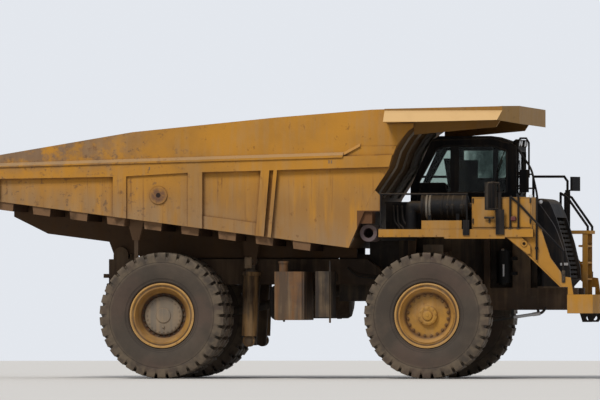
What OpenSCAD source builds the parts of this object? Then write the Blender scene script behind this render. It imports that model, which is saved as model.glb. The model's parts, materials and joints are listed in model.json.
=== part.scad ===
// Rigid mining dump truck, 36 to 40 tonne class. Millimetres, +X forward, +Y left, +Z up.
// The origin is on the ground, midway between the tail of the bed and the face of the bumper.
// Inside the modules X is measured from the rear axle, and placed() moves the lot to the origin.

/* [Overall] */
// Distance between the front and rear axles
wheelbase = 3960; // [3800:10:4200]
// From the rear axle back to the tail of the bed
tail_reach = 2620; // [2500:10:2800]
// From the front axle forward to the face of the bumper
nose_reach = 2540; // [2500:10:2700]

/* [Wheels] */
// Outside diameter of every tyre, over the lugs
tyre_d = 1875; // [1800:5:1900]
// Width of every tyre
tyre_w = 500; // [460:5:520]
// Height of a lug above the carcass
lug_h = 46; // [25:1:60]
// Number of lugs round each tyre
lug_count = 34; // [24:1:40]
// Share of the lug pitch that a lug fills
lug_fill = 0.72; // [0.45:0.01:0.75]
// Diameter of the rim flanges
rim_d = 965; // [940:1:980]
// Diameter of the bead seat
bead_d = 838; // [820:1:850]
// Distance between the middles of the front tyres
front_track = 3105; // [3050:5:3160]
// Distance between the middles of the two twin wheels
rear_track = 2600; // [2560:5:2640]
// Distance between the middles of two twin tyres
twin_pitch = 580; // [570:1:610]
// Distance between the two kingpins
kingpin_track = 2000; // [1960:5:2040]
// Length of the steering arms
arm_l = 380; // [340:5:420]

/* [Frame] */
// Width of one frame rail
rail_w = 180; // [140:2:200]
// Distance between the middles of the two frame rails
rail_track = 860; // [820:2:880]
// Height of the top of the rails behind the engine
rail_top = 1780; // [1740:2:1800]
// Depth of the rails behind the engine
rail_h = 380; // [320:2:420]
// Height of the top of the rails at the nose
nose_top = 1350; // [1320:2:1380]
// Depth of the rails at the nose
nose_h = 330; // [280:2:340]
// Height of the towers that carry the front struts
tower_top = 1900; // [1860:5:1940]

/* [Bed] */
// Outside width of the bed over its top rails
bed_w = 3860; // [3800:10:3900]
// Thickness of the side walls
wall_t = 60; // [30:1:80]
// Thickness of the floor
floor_t = 90; // [60:1:120]
// How far the top rail stands out from the side wall
rail_out = 90; // [70:1:110]
// How far the posts stand out from the side wall
post_out = 70; // [50:1:80]
// Slope of the floor, down toward the front
floor_tilt = 7.5; // [6:0.1:8]
// Height of the lower front corner of the bed
bed_low = 1941; // [1930:1:1980]
// From the front axle back to the lower front corner of the bed
bed_front = 1157; // [1140:1:1200]
// Number of cross beams under the floor
bolster_count = 9; // [7:1:9]
// Length of a cross beam along the truck
bolster_w = 270; // [200:1:300]
// Depth of a cross beam
bolster_h = 120; // [80:1:130]
// Width of the canopy over the cab
canopy_w = 4640; // [4400:10:4700]
// From the roof of the cab up to the top of the canopy
canopy_over_cab = 415; // [400:1:450]
// Thickness of the canopy's plate
canopy_t = 50; // [30:1:60]
// How far the canopy's edge slopes out
canopy_flare = 170; // [100:5:200]

/* [Tipping gear] */
// From the rear axle back to the bed's hinge pin
pivot_back = 820; // [790:1:840]
// Height of the bed's hinge pin
pivot_z = 1850; // [1840:1:1860]
// Diameter of the bed's hinge pin
pivot_d = 90; // [70:1:100]
// Distance between the middles of the hoist cylinders
hoist_track = 1400; // [1380:2:1440]
// Outside diameter of a hoist barrel
barrel_d = 230; // [200:1:236]
// Diameter of a hoist's middle tube
stage_d = 176; // [160:1:180]
// Diameter of a hoist's rod
rod_d = 116; // [90:1:120]

/* [Cab and decks] */
// Height of the deck's walking surface
deck_z = 2215; // [2200:1:2250]
// Depth of the deck's edge beam
deck_t = 115; // [100:1:125]
// Thickness of the deck's plate
deck_plate = 30; // [12:1:40]
// Overall width of the decks
deck_w = 3860; // [3700:10:3900]
// Width of the cab
cab_w = 1280; // [1220:5:1300]
// Height of the cab above the deck
cab_h = 1410; // [1380:1:1430]
// Thickness of the cab's walls and roof
cab_t = 60; // [40:1:70]
// Width of the hood
hood_w = 1500; // [1400:5:1560]
// Thickness of the hood's plate
hood_t = 40; // [25:1:60]
// Number of bars in the grille
slat_count = 13; // [8:1:16]
// Diameter of the handrail tube
tube_d = 38; // [30:1:45]

/* [Bumper] */
// Width of the bumper
bumper_w = 3720; // [3600:10:3800]
// Height of the bumper's top
bumper_top = 1250; // [1240:1:1270]
// Depth of the bumper
bumper_h = 280; // [240:1:300]
// Length of the bumper along the truck
bumper_l = 440; // [400:1:460]

/* [Hidden] */
$fn = 48;

yellow = "#c79a2b";
dark = "#24262a";
steel = "#7b7d7c";
brown = "#5d4d3c";

// Where the two axles are, with X measured from the rear one
fx = wheelbase;
origin_x = (wheelbase + nose_reach - tail_reach) / 2;
tyre_r = tyre_d / 2;
front_y = front_track / 2;
rear_y = rear_track / 2;
king_y = kingpin_track / 2;

// Clearances: a bore over its shaft in radius, a piece on its seat, faces that turn past each
// other, and larger pieces that move past each other
run_fit = 0.05;
seat_fit = 0.3;
side_fit = 5;
swing_gap = 10;

module placed() { translate([-origin_x, 0, 0]) children(); }
module side(s) { mirror([0, s < 0 ? 1 : 0, 0]) children(); }
module both() { children(); mirror([0, 1, 0]) children(); }
module box(x, y, z) { translate([x[0], y[0], z[0]]) cube([x[1] - x[0], y[1] - y[0], z[1] - z[0]]); }
module slab(points, y) { translate([0, y[1], 0]) rotate([90, 0, 0]) linear_extrude(y[1] - y[0]) polygon(points); }
module plan(points, z) { translate([0, 0, z[0]]) linear_extrude(z[1] - z[0]) polygon(points); }
module pin_y(x, z, r, y) { translate([x, y[0], z]) rotate([-90, 0, 0]) cylinder(r = r, h = y[1] - y[0]); }
module pin_x(x, y, z, r) { translate([x[0], y, z]) rotate([0, 90, 0]) cylinder(r = r, h = x[1] - x[0]); }
module pin_z(x, y, z, r) { translate([x, y, z[0]]) cylinder(r = r, h = z[1] - z[0]); }
module turned_y(points) { rotate([-90, 0, 0]) rotate_extrude() polygon(points); }
module turned_x(points) { rotate([0, 90, 0]) rotate_extrude() polygon(points); }
module bar(p, q, r) {
    v = q - p;
    translate(p) rotate([0, acos(v[2] / norm(v)), atan2(v[1], v[0])]) cylinder(r = r, h = norm(v), $fn = 24);
}
module pipe(points, r) {
    for (i = [1:len(points) - 1]) bar(points[i - 1], points[i], r);
    for (i = [1:len(points) - 2]) translate(points[i]) sphere(r = r + 1, $fn = 24);
}
function arc(centre, r, from, to, steps) =
    [for (i = [0:steps]) let (a = from + (to - from) * i / steps) centre + r * [cos(a), sin(a)]];
function moved(points, by) = [for (p = points) p + by];

// Frame rails
rail_y0 = (rail_track - rail_w) / 2;
rail_y1 = (rail_track + rail_w) / 2;
rail_rear = -1000;
rail_drop_a = fx - 1060;
rail_drop_b = fx - 460;
bumper_rear = fx + nose_reach - bumper_l;
clevis_r = 110;
beam_w = 100;
slot_half = beam_w / 2 + side_fit;
strut_r = 150;
tower_l = 260;
hanger = [150, 80, 70];
rear_strut_x = -330;
rear_strut_y = 640;

// Hoist pins, and the length between them with the bed down
hoist_y = hoist_track / 2;
hoist_low = [1150, 560];
hoist_high = [1190, 1750];
hoist_len = norm(hoist_high - hoist_low);
hoist_lean = atan2(hoist_high[0] - hoist_low[0], hoist_high[1] - hoist_low[1]);
hoist_pin_d = 80;
hoist_cap_r = 62;
collar_r = barrel_d / 2 + 25;
barrel_in = hoist_y - collar_r - swing_gap;

// Cross tubes between the rails: place along the truck, height, radius
cross_tubes = [[-560, 1590, 110], [700, 1590, 110], [fx - 1660, 1590, 110], [fx - 400, 1100, 70], [fx + 1800, 1185, 110]];
arm_tube = cross_tubes[1];
tow_hole_r = 35;
tow_plate = [rail_rear - 110, rail_rear + 60];
tow_plate_z = [1500, 1560];
// Legs on the rails under the decks: from, to along the truck, and width across
legs = [[fx - 440, fx - 320, 120], [fx + 700, fx + 790, 120], [fx + 1130, fx + 1400, 150]];
hood_low = nose_top + 20;
sill = [fx + 1530, fx + 1915];

module frame() {
    color(brown) difference() {
        both() {
            slab([[rail_rear, rail_top - rail_h], [rail_rear, rail_top], [rail_drop_a, rail_top],
                  [rail_drop_b, nose_top], [bumper_rear, nose_top], [bumper_rear, nose_top - nose_h],
                  [rail_drop_b, nose_top - nose_h], [rail_drop_a, rail_top - rail_h]], [rail_y0, rail_y1]);
            // Clevis of the bed's hinge
            pin_y(-pivot_back, pivot_z, clevis_r, [rail_y0, rail_y1]);
            box([-pivot_back - clevis_r, -pivot_back + clevis_r], [rail_y0, rail_y1], [rail_top - 50, pivot_z]);
            // Hanger of the hoist's lower pin
            slab([[hoist_low[0] - hanger[0], rail_top - rail_h / 2], [hoist_low[0] + hanger[0], rail_top - rail_h / 2],
                  [hoist_low[0] + hanger[1], hoist_low[1] - hanger[2]], [hoist_low[0] - hanger[1], hoist_low[1] - hanger[2]]],
                 [rail_y1 - 60, barrel_in]);
            // Tower of the front strut, and its two arms
            slab([[fx - tower_l, nose_top - nose_h], [fx - tower_l + 60, tower_top], [fx + tower_l - 60, tower_top],
                  [fx + tower_l, nose_top - nose_h]], [rail_y0, rail_y1]);
            box([fx - strut_r - 10, fx + strut_r + 10], [rail_y1 - 20, king_y - 60], [tower_top - 420, tower_top - 20]);
            // Upper bracket of the rear strut
            box([rear_strut_x - 80, rear_strut_x + 80], [rail_y1 - 20, rear_strut_y + 60], [rail_top - 180, rail_top - 80]);
        }
        both() {
            pin_z(fx, king_y, [nose_top, tower_top + 100], strut_r);
            box([rail_rear - 10, -pivot_back + 2 * clevis_r + 10], [rail_track / 2 - slot_half, rail_track / 2 + slot_half],
                [pivot_z - clevis_r - 50, pivot_z + 300]);
        }
    }
    color(steel) both() {
        pin_y(-pivot_back, pivot_z, pivot_d / 2, [rail_y0 - 5, rail_y1 + 5]);
        pin_y(hoist_low[0], hoist_low[1], hoist_pin_d / 2, [barrel_in - 20, hoist_y + 70]);
        pin_y(hoist_low[0], hoist_low[1], hoist_cap_r, [hoist_y + 65, hoist_y + 80]);
    }
}
module frame_members() {
    color(brown) {
        for (c = cross_tubes) pin_y(c[0], c[1], c[2], [-rail_y0, rail_y0]);
        // Tray of the hoses, on the cross tubes
        box([-600, 2400], [-60, 60], [1680, 1850]);
        // Sill that carries the radiator and the hood
        box(sill, [-hood_w / 2, hood_w / 2], [nose_top, hood_low]);
        // Plate with the hole of the rear tow pin
        difference() {
            box(tow_plate, [-rail_y0, rail_y0], tow_plate_z);
            pin_z(rail_rear - 60, 0, [tow_plate_z[0] - 50, tow_plate_z[1] + 50], tow_hole_r);
        }
        both() for (g = legs)
            box([g[0], g[1]], [rail_y1 - g[2], rail_y1], [nose_top + seat_fit, deck_z - deck_t - seat_fit]);
    }
}

// Bumper: top view with cut corners, lamp recesses and tow eyes
lamp_y = 1250;
lamp_w = 150;
lamp_z = [bumper_top - 200, bumper_top - 90];
recess_x = fx + nose_reach - 160;
tow_x = [fx + 2110, fx + 2400];
tow_eye = [fx + 2260, bumper_top - bumper_h - 70];
tow_eye_w = 60;
module bumper() {
    y = bumper_w / 2;
    low = bumper_top - bumper_h;
    color(yellow) difference() {
        union() {
            both() slab([[tow_x[0] + 20, low], [tow_x[0] + 60, tow_eye[1] - 60], [tow_x[1] - 90, tow_eye[1] - 60], [tow_x[1], low]],
                        [rail_track / 2 - tow_eye_w / 2, rail_track / 2 + tow_eye_w / 2]);
            plan([[bumper_rear, -y], [fx + nose_reach - 60, -y], [fx + nose_reach, -y + 200], [fx + nose_reach, y - 200],
              [fx + nose_reach - 60, y], [bumper_rear, y]], [low, bumper_top]);
        }
        pin_y(tow_eye[0], tow_eye[1], tow_hole_r, [-y, y]);
        for (s = [-1, 1]) box([recess_x, fx + nose_reach + 10], [s * lamp_y - lamp_w, s * lamp_y + lamp_w], lamp_z);
    }
}
module lamps() {
    z = (lamp_z[0] + lamp_z[1]) / 2;
    color("#d8d8d0") for (s = [-1, 1]) for (d = [-1, 1])
        pin_x([recess_x, recess_x + 60], s * lamp_y + d * lamp_w / 2, z, 50);
}

module drive_train() {
    color(steel) {
        top = deck_z - deck_t - swing_gap;
        box([fx + 100, fx + 1480], [-rail_y0, rail_y0], [1050, top]);
        pin_x([fx - 150, fx + 110], 0, 1250, 240);
        box([fx - 1500, fx - 900], [-rail_y0, rail_y0], [1150, rail_top + 70]);
        box([fx - 1040, fx + 110], [-rail_y0, rail_y0], [1520, top]);
        bar([fx - 140, 0, 1250], [fx - 920, 0, 1330], 70);
        bar([fx - 1490, 0, 1300], [430, 0, tyre_r], 70);
        pin_x([400, 445], 0, tyre_r, 100);
    }
}

// Hood: side outline with a round nose, forward of the front axle; all of it is worked out from there
hood_rear = 1110;
hood_top = 2680;
nose_r = 170;
hood_nose = concat(arc([1575, hood_top - nose_r], nose_r, 85, 20, 5),
                   [[1805, 2400], [1922, 2022], [1968, 1823], [2010, 1660], [2020, 1491], [1910, hood_low]]);
hood_side = concat([[hood_rear, deck_z], [hood_rear, hood_top - 10]], hood_nose,
                   [[1600, hood_low], [1600, deck_z - deck_t - 40], [1610, deck_z]]);
grille_low = 1490;
grille_high = 2400;
function nose_x(z) = lookup(z, [for (i = [len(hood_nose) - 2:-1:0]) [hood_nose[i][1], hood_nose[i][0]]]);
// Section across the hood with round upper edges
module hood_section(inset) {
    w = hood_w / 2 - inset;
    r = 110;
    top = hood_top - inset;
    rotate([90, 0, 90]) linear_extrude(fx + nose_reach) union() {
        translate([-w, hood_low - 10]) square([2 * w, top - r - hood_low + 10]);
        translate([-w + r, top - r - 10]) square([2 * (w - r), r + 10]);
        for (s = [-1, 1]) translate([s * (w - r), top - r]) circle(r = r);
    }
}
module hood() {
    color(dark) difference() {
        intersection() {
            translate([fx, 0, 0]) slab(hood_side, [-hood_w / 2, hood_w / 2]);
            hood_section(0);
        }
        intersection() {
            translate([fx - hood_t, 0, -hood_t]) slab(concat([[hood_rear - 60, deck_z - 200], [hood_rear - 60, hood_top]], hood_nose,
                [[1910, hood_low - 60], [1500, hood_low - 60], [1500, deck_z - 200]]), [-hood_w / 2, hood_w / 2]);
            hood_section(hood_t);
        }
        translate([fx, 0, 0]) box([1660, 2100], [-hood_w / 2 + 110, hood_w / 2 - 110], [grille_low, grille_high]);
    }
}
module grille() {
    y = hood_w / 2 - 115;
    pitch = (grille_high - grille_low - 30) / slat_count;
    radiator = [fx + 1560, fx + 1620];
    lean = [for (i = [0:8]) let (z = grille_low + i * (grille_high - 10 - grille_low) / 8) [nose_x(z) - 58, z]];
    color("#17191c") {
        box(radiator, [-y, y], [hood_low, grille_high - 30]);
        // Upright posts behind the bars, and the bars
        for (p = [-y, -y / 3 - 12, y / 3 - 12, y - 24])
            translate([fx, 0, 0]) slab(concat([[1600, grille_low]], lean, [[1600, grille_high - 40]]), [p, p + 24]);
        for (i = [0:slat_count - 1]) {
            z = grille_low + 10 + i * pitch;
            x = fx + nose_x(z + 20);
            box([x - 75, x - 45], [-y, y], [z, z + 38]);
        }
    }
}

// Axles, struts and steering
module rear_axle() {
    bowl_r = 370;
    color(brown) translate([0, 0, tyre_r]) {
        turned_x([[0, -330], [180, -330], [240, -300], [bowl_r - 30, -160], [bowl_r, -120], [bowl_r, 120], [bowl_r - 40, 170], [200, 330],
                  [150, 400], [0, 400]]);
        both() {
            turned_y([[0, 0], [0, 1515], [150, 1515], [150, 790], [200, 790], [200, 560], [250, 340], [250, 0]]);
            box([rear_strut_x - 90, rear_strut_x + 90], [rear_strut_y - 80, rear_strut_y + 80], [-90, 90]);
            box([rear_strut_x + 30, 0], [rear_strut_y - 80, rear_strut_y + 80], [-120, 60]);
        }
        // Trailing arm to the cross tube ahead of the axle
        difference() {
            slab([[100, 150], [arm_tube[0] - 80, 480], [arm_tube[0] + 40, 480], [arm_tube[0] - 100, 640], [100, 260]], [-160, 160]);
            pin_y(arm_tube[0], arm_tube[1] - tyre_r, arm_tube[2], [-200, 200]);
        }
    }
}
module rear_struts() {
    color(steel) both() translate([rear_strut_x, rear_strut_y, 0]) {
        pin_z(0, 0, [tyre_r + 90, 1330], 62);
        pin_z(0, 0, [1310, rail_top - 180], 84);
    }
}
cover_r = 110;
module front_struts() {
    color(steel) both() translate([fx, king_y, 0]) difference() {
        union() {
            pin_z(0, 0, [1230, tower_top + 90], strut_r);
            pin_z(0, 0, [1230, 1290], strut_r + 20);
        }
        pin_z(0, 0, [1220, tower_top + 20], cover_r + run_fit);
    }
}
arm_z = [735, 800];
arm_pin_r = 22;
module knuckle(s) {
    color(brown) side(s) translate([fx, 0, 0]) {
        pin_z(0, king_y, [700, tower_top - 50], cover_r);
        pin_z(0, king_y, [760, 1120], strut_r + 20);
        pin_y(0, tyre_r, 130, [king_y, front_y - 210]);
        pin_y(0, tyre_r, 90, [front_y - 220, front_y + 40]);
        plan([[-arm_l - 50, king_y - 50], [0, king_y - 120], [0, king_y + 120], [-arm_l - 50, king_y + 50]], arm_z);
        pin_z(-arm_l, king_y, [arm_z[0] - 95, arm_z[0] + 5], arm_pin_r);
    }
}
module tie_rod() {
    z = arm_z[0] - 45;
    color(steel) difference() {
        union() {
            pin_y(fx - arm_l, z, 36, [-king_y, king_y]);
            for (s = [-1, 1]) pin_z(fx - arm_l, s * king_y, [z - 40, z + 40], 52);
        }
        for (s = [-1, 1]) pin_z(fx - arm_l, s * king_y, [z - 90, z + 60], arm_pin_r + run_fit);
    }
}

// Wheels, drawn for the left side with +Y outward
half = tyre_w / 2;
bead_r = bead_d / 2;
rim_r = rim_d / 2;
rim_w = tyre_w - 70;
// Tyre: the tread ring has four points to a lug pitch, the other rings one, drawn round Y.
// Rings run from the inner bead on the far side, over the tread, to the bead on the near side.
pitch_a = 360 / lug_count;
lug_a = pitch_a * lug_fill;
flank_a = pitch_a * 0.08;
tip_r = tyre_r / cos(lug_a / 2);
tread = [for (i = [0:lug_count - 1]) each [[-lug_a / 2, tip_r], [lug_a / 2, tip_r], [lug_a / 2 + flank_a, tip_r - lug_h],
        [pitch_a - lug_a / 2 - flank_a, tip_r - lug_h]] + [for (j = [0:3]) [i * pitch_a, 0]]];
function round_y(a, r, y) = [r * sin(a), y, -r * cos(a)];
module tyre() {
    n = lug_count;
    corner = 1 / cos(pitch_a / 2);
    seat_y = rim_w / 2 - 35.3;
    // Rings with one point to a pitch: radius and place across, on one side and on the other
    plain = [[(bead_r + 12.3) * corner, seat_y], [rim_r * corner + 2, seat_y + 10], [tyre_r - 190, half]];
    points = concat(
        [for (p = plain) for (i = [0:n - 1]) round_y(i * pitch_a, p[0], -p[1])],
        [for (t = tread) round_y(t[0], t[1], -half + 45)],
        [for (t = tread) round_y(t[0], t[1], half - 45)],
        [for (k = [2, 1, 0]) for (i = [0:n - 1]) round_y(i * pitch_a, plain[k][0], plain[k][1])]);
    // First point of each ring
    low = [0, n, 2 * n];
    tread_a = 3 * n;
    tread_b = 7 * n;
    high = [11 * n, 12 * n, 13 * n];
    function quads(a, b, m) = [for (i = [0:m - 1]) let (j = (i + 1) % m) each [[a + i, b + i, b + j], [a + i, b + j, a + j]]];
    // Fans between a plain ring and a tread ring; turn swaps the side they face
    function fans(a, t, turn) = [for (i = [0:n - 1]) let (j = (i + 1) % n, g = t + 4 * i, h = t + 4 * j)
        each [for (f = [[a + i, g, g + 1], [a + i, g + 1, g + 2], [a + i, g + 2, a + j], [a + j, g + 2, g + 3], [a + j, g + 3, h]])
            turn ? [f[0], f[2], f[1]] : f]];
    faces = concat(quads(low[0], low[1], n), quads(low[1], low[2], n), fans(low[2], tread_a, false),
                   quads(tread_a, tread_b, 4 * n), fans(high[0], tread_b, true),
                   quads(high[0], high[1], n), quads(high[1], high[2], n), quads(high[2], low[0], n));
    color("#3b3632") polyhedron(points, faces);
}
module tyre_front(s) { side(s) translate([fx, front_y, tyre_r]) tyre(); }
module tyres_rear(s) {
    side(s) for (y = [-0.5, 0.5]) translate([0, rear_y + y * twin_pitch, tyre_r]) tyre();
}

hub_r = 90;
axle_end_r = 150;
module rim_front(s) {
    w = rim_w / 2;
    color(yellow) side(s) translate([fx, front_y, tyre_r]) turned_y([
        [0, 150], [0, 45], [hub_r + run_fit, 45], [hub_r + run_fit, -190], [170, -190], [170, -30], [bead_r - 24, -10],
        [bead_r - 24, -w], [rim_r, -w], [rim_r, -w + 25], [bead_r + 12, -w + 35], [bead_r + 12, w - 35],
        [rim_r, w - 25], [rim_r, w], [rim_r - 20, w + 4], [rim_r - 34, w - 12], [rim_r - 66, w - 12], [rim_r - 80, w],
        [rim_r - 138, 110], [rim_r - 160, 62], [180, 72], [150, 84], [138, 124], [110, 134], [76, 128], [66, 150], [40, 158], [0, 158]]);
}
module rims_rear(s) {
    w = rim_w / 2;
    a = rear_y - twin_pitch / 2;
    b = rear_y + twin_pitch / 2;
    color(yellow) side(s) translate([0, 0, tyre_r]) turned_y([
        [0, b - 30], [0, b - 70], [axle_end_r + run_fit, b - 70], [axle_end_r + run_fit, 800], [320, 800], [330, a + 40],
        [bead_r - 24, a + 60], [bead_r - 24, a - w], [rim_r, a - w], [rim_r, a - w + 25], [bead_r + 12, a - w + 35],
        [bead_r + 12, a + w - 35], [rim_r, a + w - 25], [rim_r, a + w], [bead_r - 24, a + w], [bead_r - 24, a + 110],
        [335, a + 90], [335, b - w + 10], [bead_r - 24, b - w], [rim_r, b - w], [rim_r, b - w + 25],
        [bead_r + 12, b - w + 35], [bead_r + 12, b + w - 35], [rim_r, b + w - 25], [rim_r, b + w],
        [rim_r - 20, b + w + 4], [rim_r - 34, b + w - 12], [rim_r - 78, b + w - 12], [rim_r - 108, b + 150], [rim_r - 158, b + 10],
        [300, b], [300, b - 30]]);
}
module final_drive(s) {
    b = rear_y + twin_pitch / 2;
    color("#8f9190") side(s) translate([0, 0, tyre_r]) turned_y([
        [0, b - 30], [285, b - 30], [285, b + 30], [275, b + 42], [262, b + 48], [112, b + 52], [104, b + 66], [0, b + 70]]);
}

// Bed outline
bed_x = fx - bed_front;
wall_y = bed_w / 2 - rail_out;
slope = tan(floor_tilt);
function edge_z(x) = bed_low + (bed_x - x) * slope;
canopy_top = deck_z + cab_h + canopy_over_cab;
canopy_low = canopy_top - 255;
shell_front = fx - 180;
// Upper edge of the side wall, from the front to the tail
wall_top = [[fx - 600, canopy_top - 48], [fx - 810, canopy_top - 54], [1720, 3873], [-432, 3661], [-tail_reach, 3294]];
// Front wall: how far forward and, as a share of the height up to the canopy, how high
front_curve = [for (p = [[0, 0], [330, 0.412], [620, 0.648], [700, 0.781], [815, 0.883], [897, 0.937], [975, 0.965]])
    [p[0], p[1] * (canopy_low - bed_low)]];
front_wall = moved(front_curve, [bed_x, bed_low]);
front_t = 80;
pad_t = 20;

module bed_shell() {
    front_top = [[shell_front, canopy_low], [shell_front, canopy_top - 42]];
    inner = wall_y - wall_t;
    color(yellow) {
        both() slab(concat(front_wall, front_top, wall_top, [[-tail_reach, edge_z(-tail_reach)]]), [inner, wall_y]);
        slab([[-tail_reach, edge_z(-tail_reach)], [bed_x, bed_low], [bed_x + front_t, bed_low + floor_t + 60],
              [-tail_reach, edge_z(-tail_reach) + floor_t]], [-inner, inner]);
        slab(concat(front_wall, front_top,
                    [for (i = [len(front_wall) - 1:-1:0]) front_wall[i] + [-front_t, i == 0 ? front_t * slope : 60]]), [-inner, inner]);
    }
}
// Posts on the side wall: from, to, at the top and from, to, at the bottom, and how far they stand out
posts = [[-2600, -2440, -2600, -2440, post_out], [-720, -520, -720, -520, post_out], [-520, 405, -520, 405, post_out - 30],
        [405, 620, 405, 620, post_out], [1500, 1630, 1420, 1545, post_out], [1690, 1745, 1600, 1650, post_out]];
// Lower edge of the band over the panels, and the two edges of the top rail's face
band = [[-tail_reach, 2965], [-600, 3000], [510, 3060], [1650, 3090], [fx - 544, 3140]];
rail_low = [[-tail_reach, 3136], [fx - 1240, 3276], [fx - 496, 3296]];
rail_high = [[-tail_reach, 3154], [fx - 1228, 3312], [fx - 975, 3445], [fx - 432, 3452]];
ledge = 46;
upper_out = 25;
patch = [-40, 2723, 130];
front_ribs = [-1250, -420, 420, 1250];
front_rib_h = 30;
module bed_ribs() {
    y = wall_y + seat_fit;
    color(yellow) both() {
        for (r = posts)
            slab([[r[2], edge_z(r[2])], [r[3], edge_z(r[3])], [r[1], 3110], [r[0], 3110]], [y, y + r[4]]);
        // Band over the panels, top rail with its sloping ledge, and the wall's upper plate
        slab(concat(band, [rail_low[2] + [0, 20], rail_low[0] + [0, 20]]), [y, y + post_out]);
        slab(concat([rail_low[0], rail_low[1]], [rail_high[1], rail_high[0]]), [y, y + rail_out]);
        for (i = [0:1]) hull() {
            slab([rail_high[i], rail_high[i + 1], rail_high[i + 1] + [0, -4], rail_high[i] + [0, -4]], [y, y + (i == 0 ? rail_out : 60)]);
            slab([rail_high[i], rail_high[i + 1], rail_high[i + 1] + [0, ledge], rail_high[i] + [0, ledge]], [y, y + upper_out]);
        }
        slab([rail_low[1], rail_low[2], rail_high[3], rail_high[2], rail_high[1]], [y, y + upper_out + 10]);
        slab(concat(rail_high, [for (i = [4:6]) front_wall[i] - [4, 0]], [[shell_front - 4, canopy_low - 1],
             [fx - 582, canopy_low - 1], [fx - 582, canopy_top - 48]], wall_top), [y, y + upper_out]);
        // Ledge at the foot of the second panel
        slab([[620, edge_z(620)], [1420, edge_z(1420)], [1450, edge_z(1450) + 190], [620, edge_z(620) + 190]], [y, y + post_out / 3]);
        pin_y(patch[0], patch[1], patch[2], [y + post_out - 32, y + post_out - 10]);
    }
    // Ribs on the outside of the front wall
    color(yellow) for (v = front_ribs)
        slab(concat(moved([for (i = [1:5]) front_wall[i]], [seat_fit, 0]),
                    moved([for (i = [5:-1:1]) front_wall[i]], [front_rib_h, -10])), [v - 30, v + 30]);
    // Cross beams under the floor
    color(yellow) for (a = bolster_xs) {
        b = a + bolster_w;
        slab([[a, edge_z(a) - seat_fit], [b, edge_z(b) - seat_fit], [b - 12, edge_z(b - 12) - bolster_h], [a + 12, edge_z(a + 12) - bolster_h]],
             [-wall_y + 20, wall_y - 20]);
    }
    // Plate and box that lead the exhaust into the front wall
    color(yellow) side(-1) slab([[front_x(2480), 2480], [fx - 690, 2480], [fx - 690, 2715], [fx - 760, 2790],
        [bed_x + 395, 2790], [bed_x + front_curve[1][0] + seat_fit, bed_low + front_curve[1][1]]], [wall_y - 50, wall_y]);
    color(brown) side(-1) slab([[front_x(2300), 2300], [front_x(2300) + 190, 2300], [front_x(2300) + 190, 2490], [front_x(2490), 2490]],
                               [1450, 1800]);
}
function front_x(z) = seat_fit + bed_x + (z - bed_low) * front_curve[1][0] / front_curve[1][1];

// Where the cross beams start, from the tail forward
bolster_first = -tail_reach + 120;
bolster_pitch = (bed_x - 840 - bolster_first) / (bolster_count - 1);
bolster_xs = [for (i = [0:bolster_count - 1]) bolster_first + i * bolster_pitch];

// Long beams under the floor, notched over the cross beams, with the hinge eyes and the hoists' plates
lug = 110;
eye_r = 85;
eye_w = rod_d + 8;
rock_x = -460;
rock_pin = [rock_x, 2100];
rock_pin_r = 18;
module bed_beams() {
    y0 = rail_track / 2 - beam_w / 2;
    y1 = rail_track / 2 + beam_w / 2;
    top = -seat_fit;
    color(yellow) difference() {
        union() {
            both() {
                slab([[-2447, edge_z(-2447) + top], [-2447, 2418], [-1930, 2162], [-1000, 2040], [-pivot_back - lug, pivot_z],
                      [-pivot_back + lug, pivot_z], [-pivot_back + 230, rail_top + 100], [-pivot_back + 300, rail_top + pad_t],
                      [bed_x - 60, rail_top + pad_t], [bed_x - 60, edge_z(bed_x - 60) + top]], [y0, y1]);
                pin_y(-pivot_back, pivot_z, lug, [y0, y1]);
                for (y = [hoist_y - eye_w / 2 - swing_gap - 20, hoist_y + eye_w / 2 + swing_gap])
                    slab([[hoist_high[0] - 150, edge_z(hoist_high[0] - 150) + top], [hoist_high[0] + 150, edge_z(hoist_high[0] + 150) + top],
                          [hoist_high[0] + 70, hoist_high[1] - 60], [hoist_high[0] - 70, hoist_high[1] - 60]], [y, y + 20]);
                // Brackets of the rock bars
                for (y = [rear_y - 55, rear_y + 27])
                    slab([[rock_x - 140, edge_z(rock_x - 140) + top], [rock_x + 120, edge_z(rock_x + 120) + top],
                          [rock_x + 50, rock_pin[1] - 40], [rock_x - 50, rock_pin[1] - 40]], [y, y + 28]);
            }
        }
        both() {
            pin_y(-pivot_back, pivot_z, pivot_d / 2 + run_fit, [y0 - 1, y1 + 1]);
            pin_y(hoist_high[0], hoist_high[1], hoist_pin_d / 2, [hoist_y - 100, hoist_y + 100]);
        }
        // Notches for the cross beams
        for (v = bolster_xs) {
            a = v - seat_fit;
            b = v + bolster_w + seat_fit;
            slab([[a, edge_z(a) + 5], [b, edge_z(b) + 5], [b, edge_z(b) - bolster_h - seat_fit], [a, edge_z(a) - bolster_h - seat_fit]],
                 [-wall_y, wall_y]);
        }
    }
    color(steel) both() pin_y(rock_pin[0], rock_pin[1], rock_pin_r, [rear_y - 60, rear_y + 60]);
}
module rock_bar(s) {
    color(brown) side(s) difference() {
        union() {
            box([rock_x - 30, rock_x + 30], [rear_y - 22, rear_y + 22], [1730, rock_pin[1]]);
            pin_y(rock_pin[0], rock_pin[1], 40, [rear_y - 22, rear_y + 22]);
        }
        pin_y(rock_pin[0], rock_pin[1], rock_pin_r + run_fit, [rear_y - 30, rear_y + 30]);
    }
}
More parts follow.
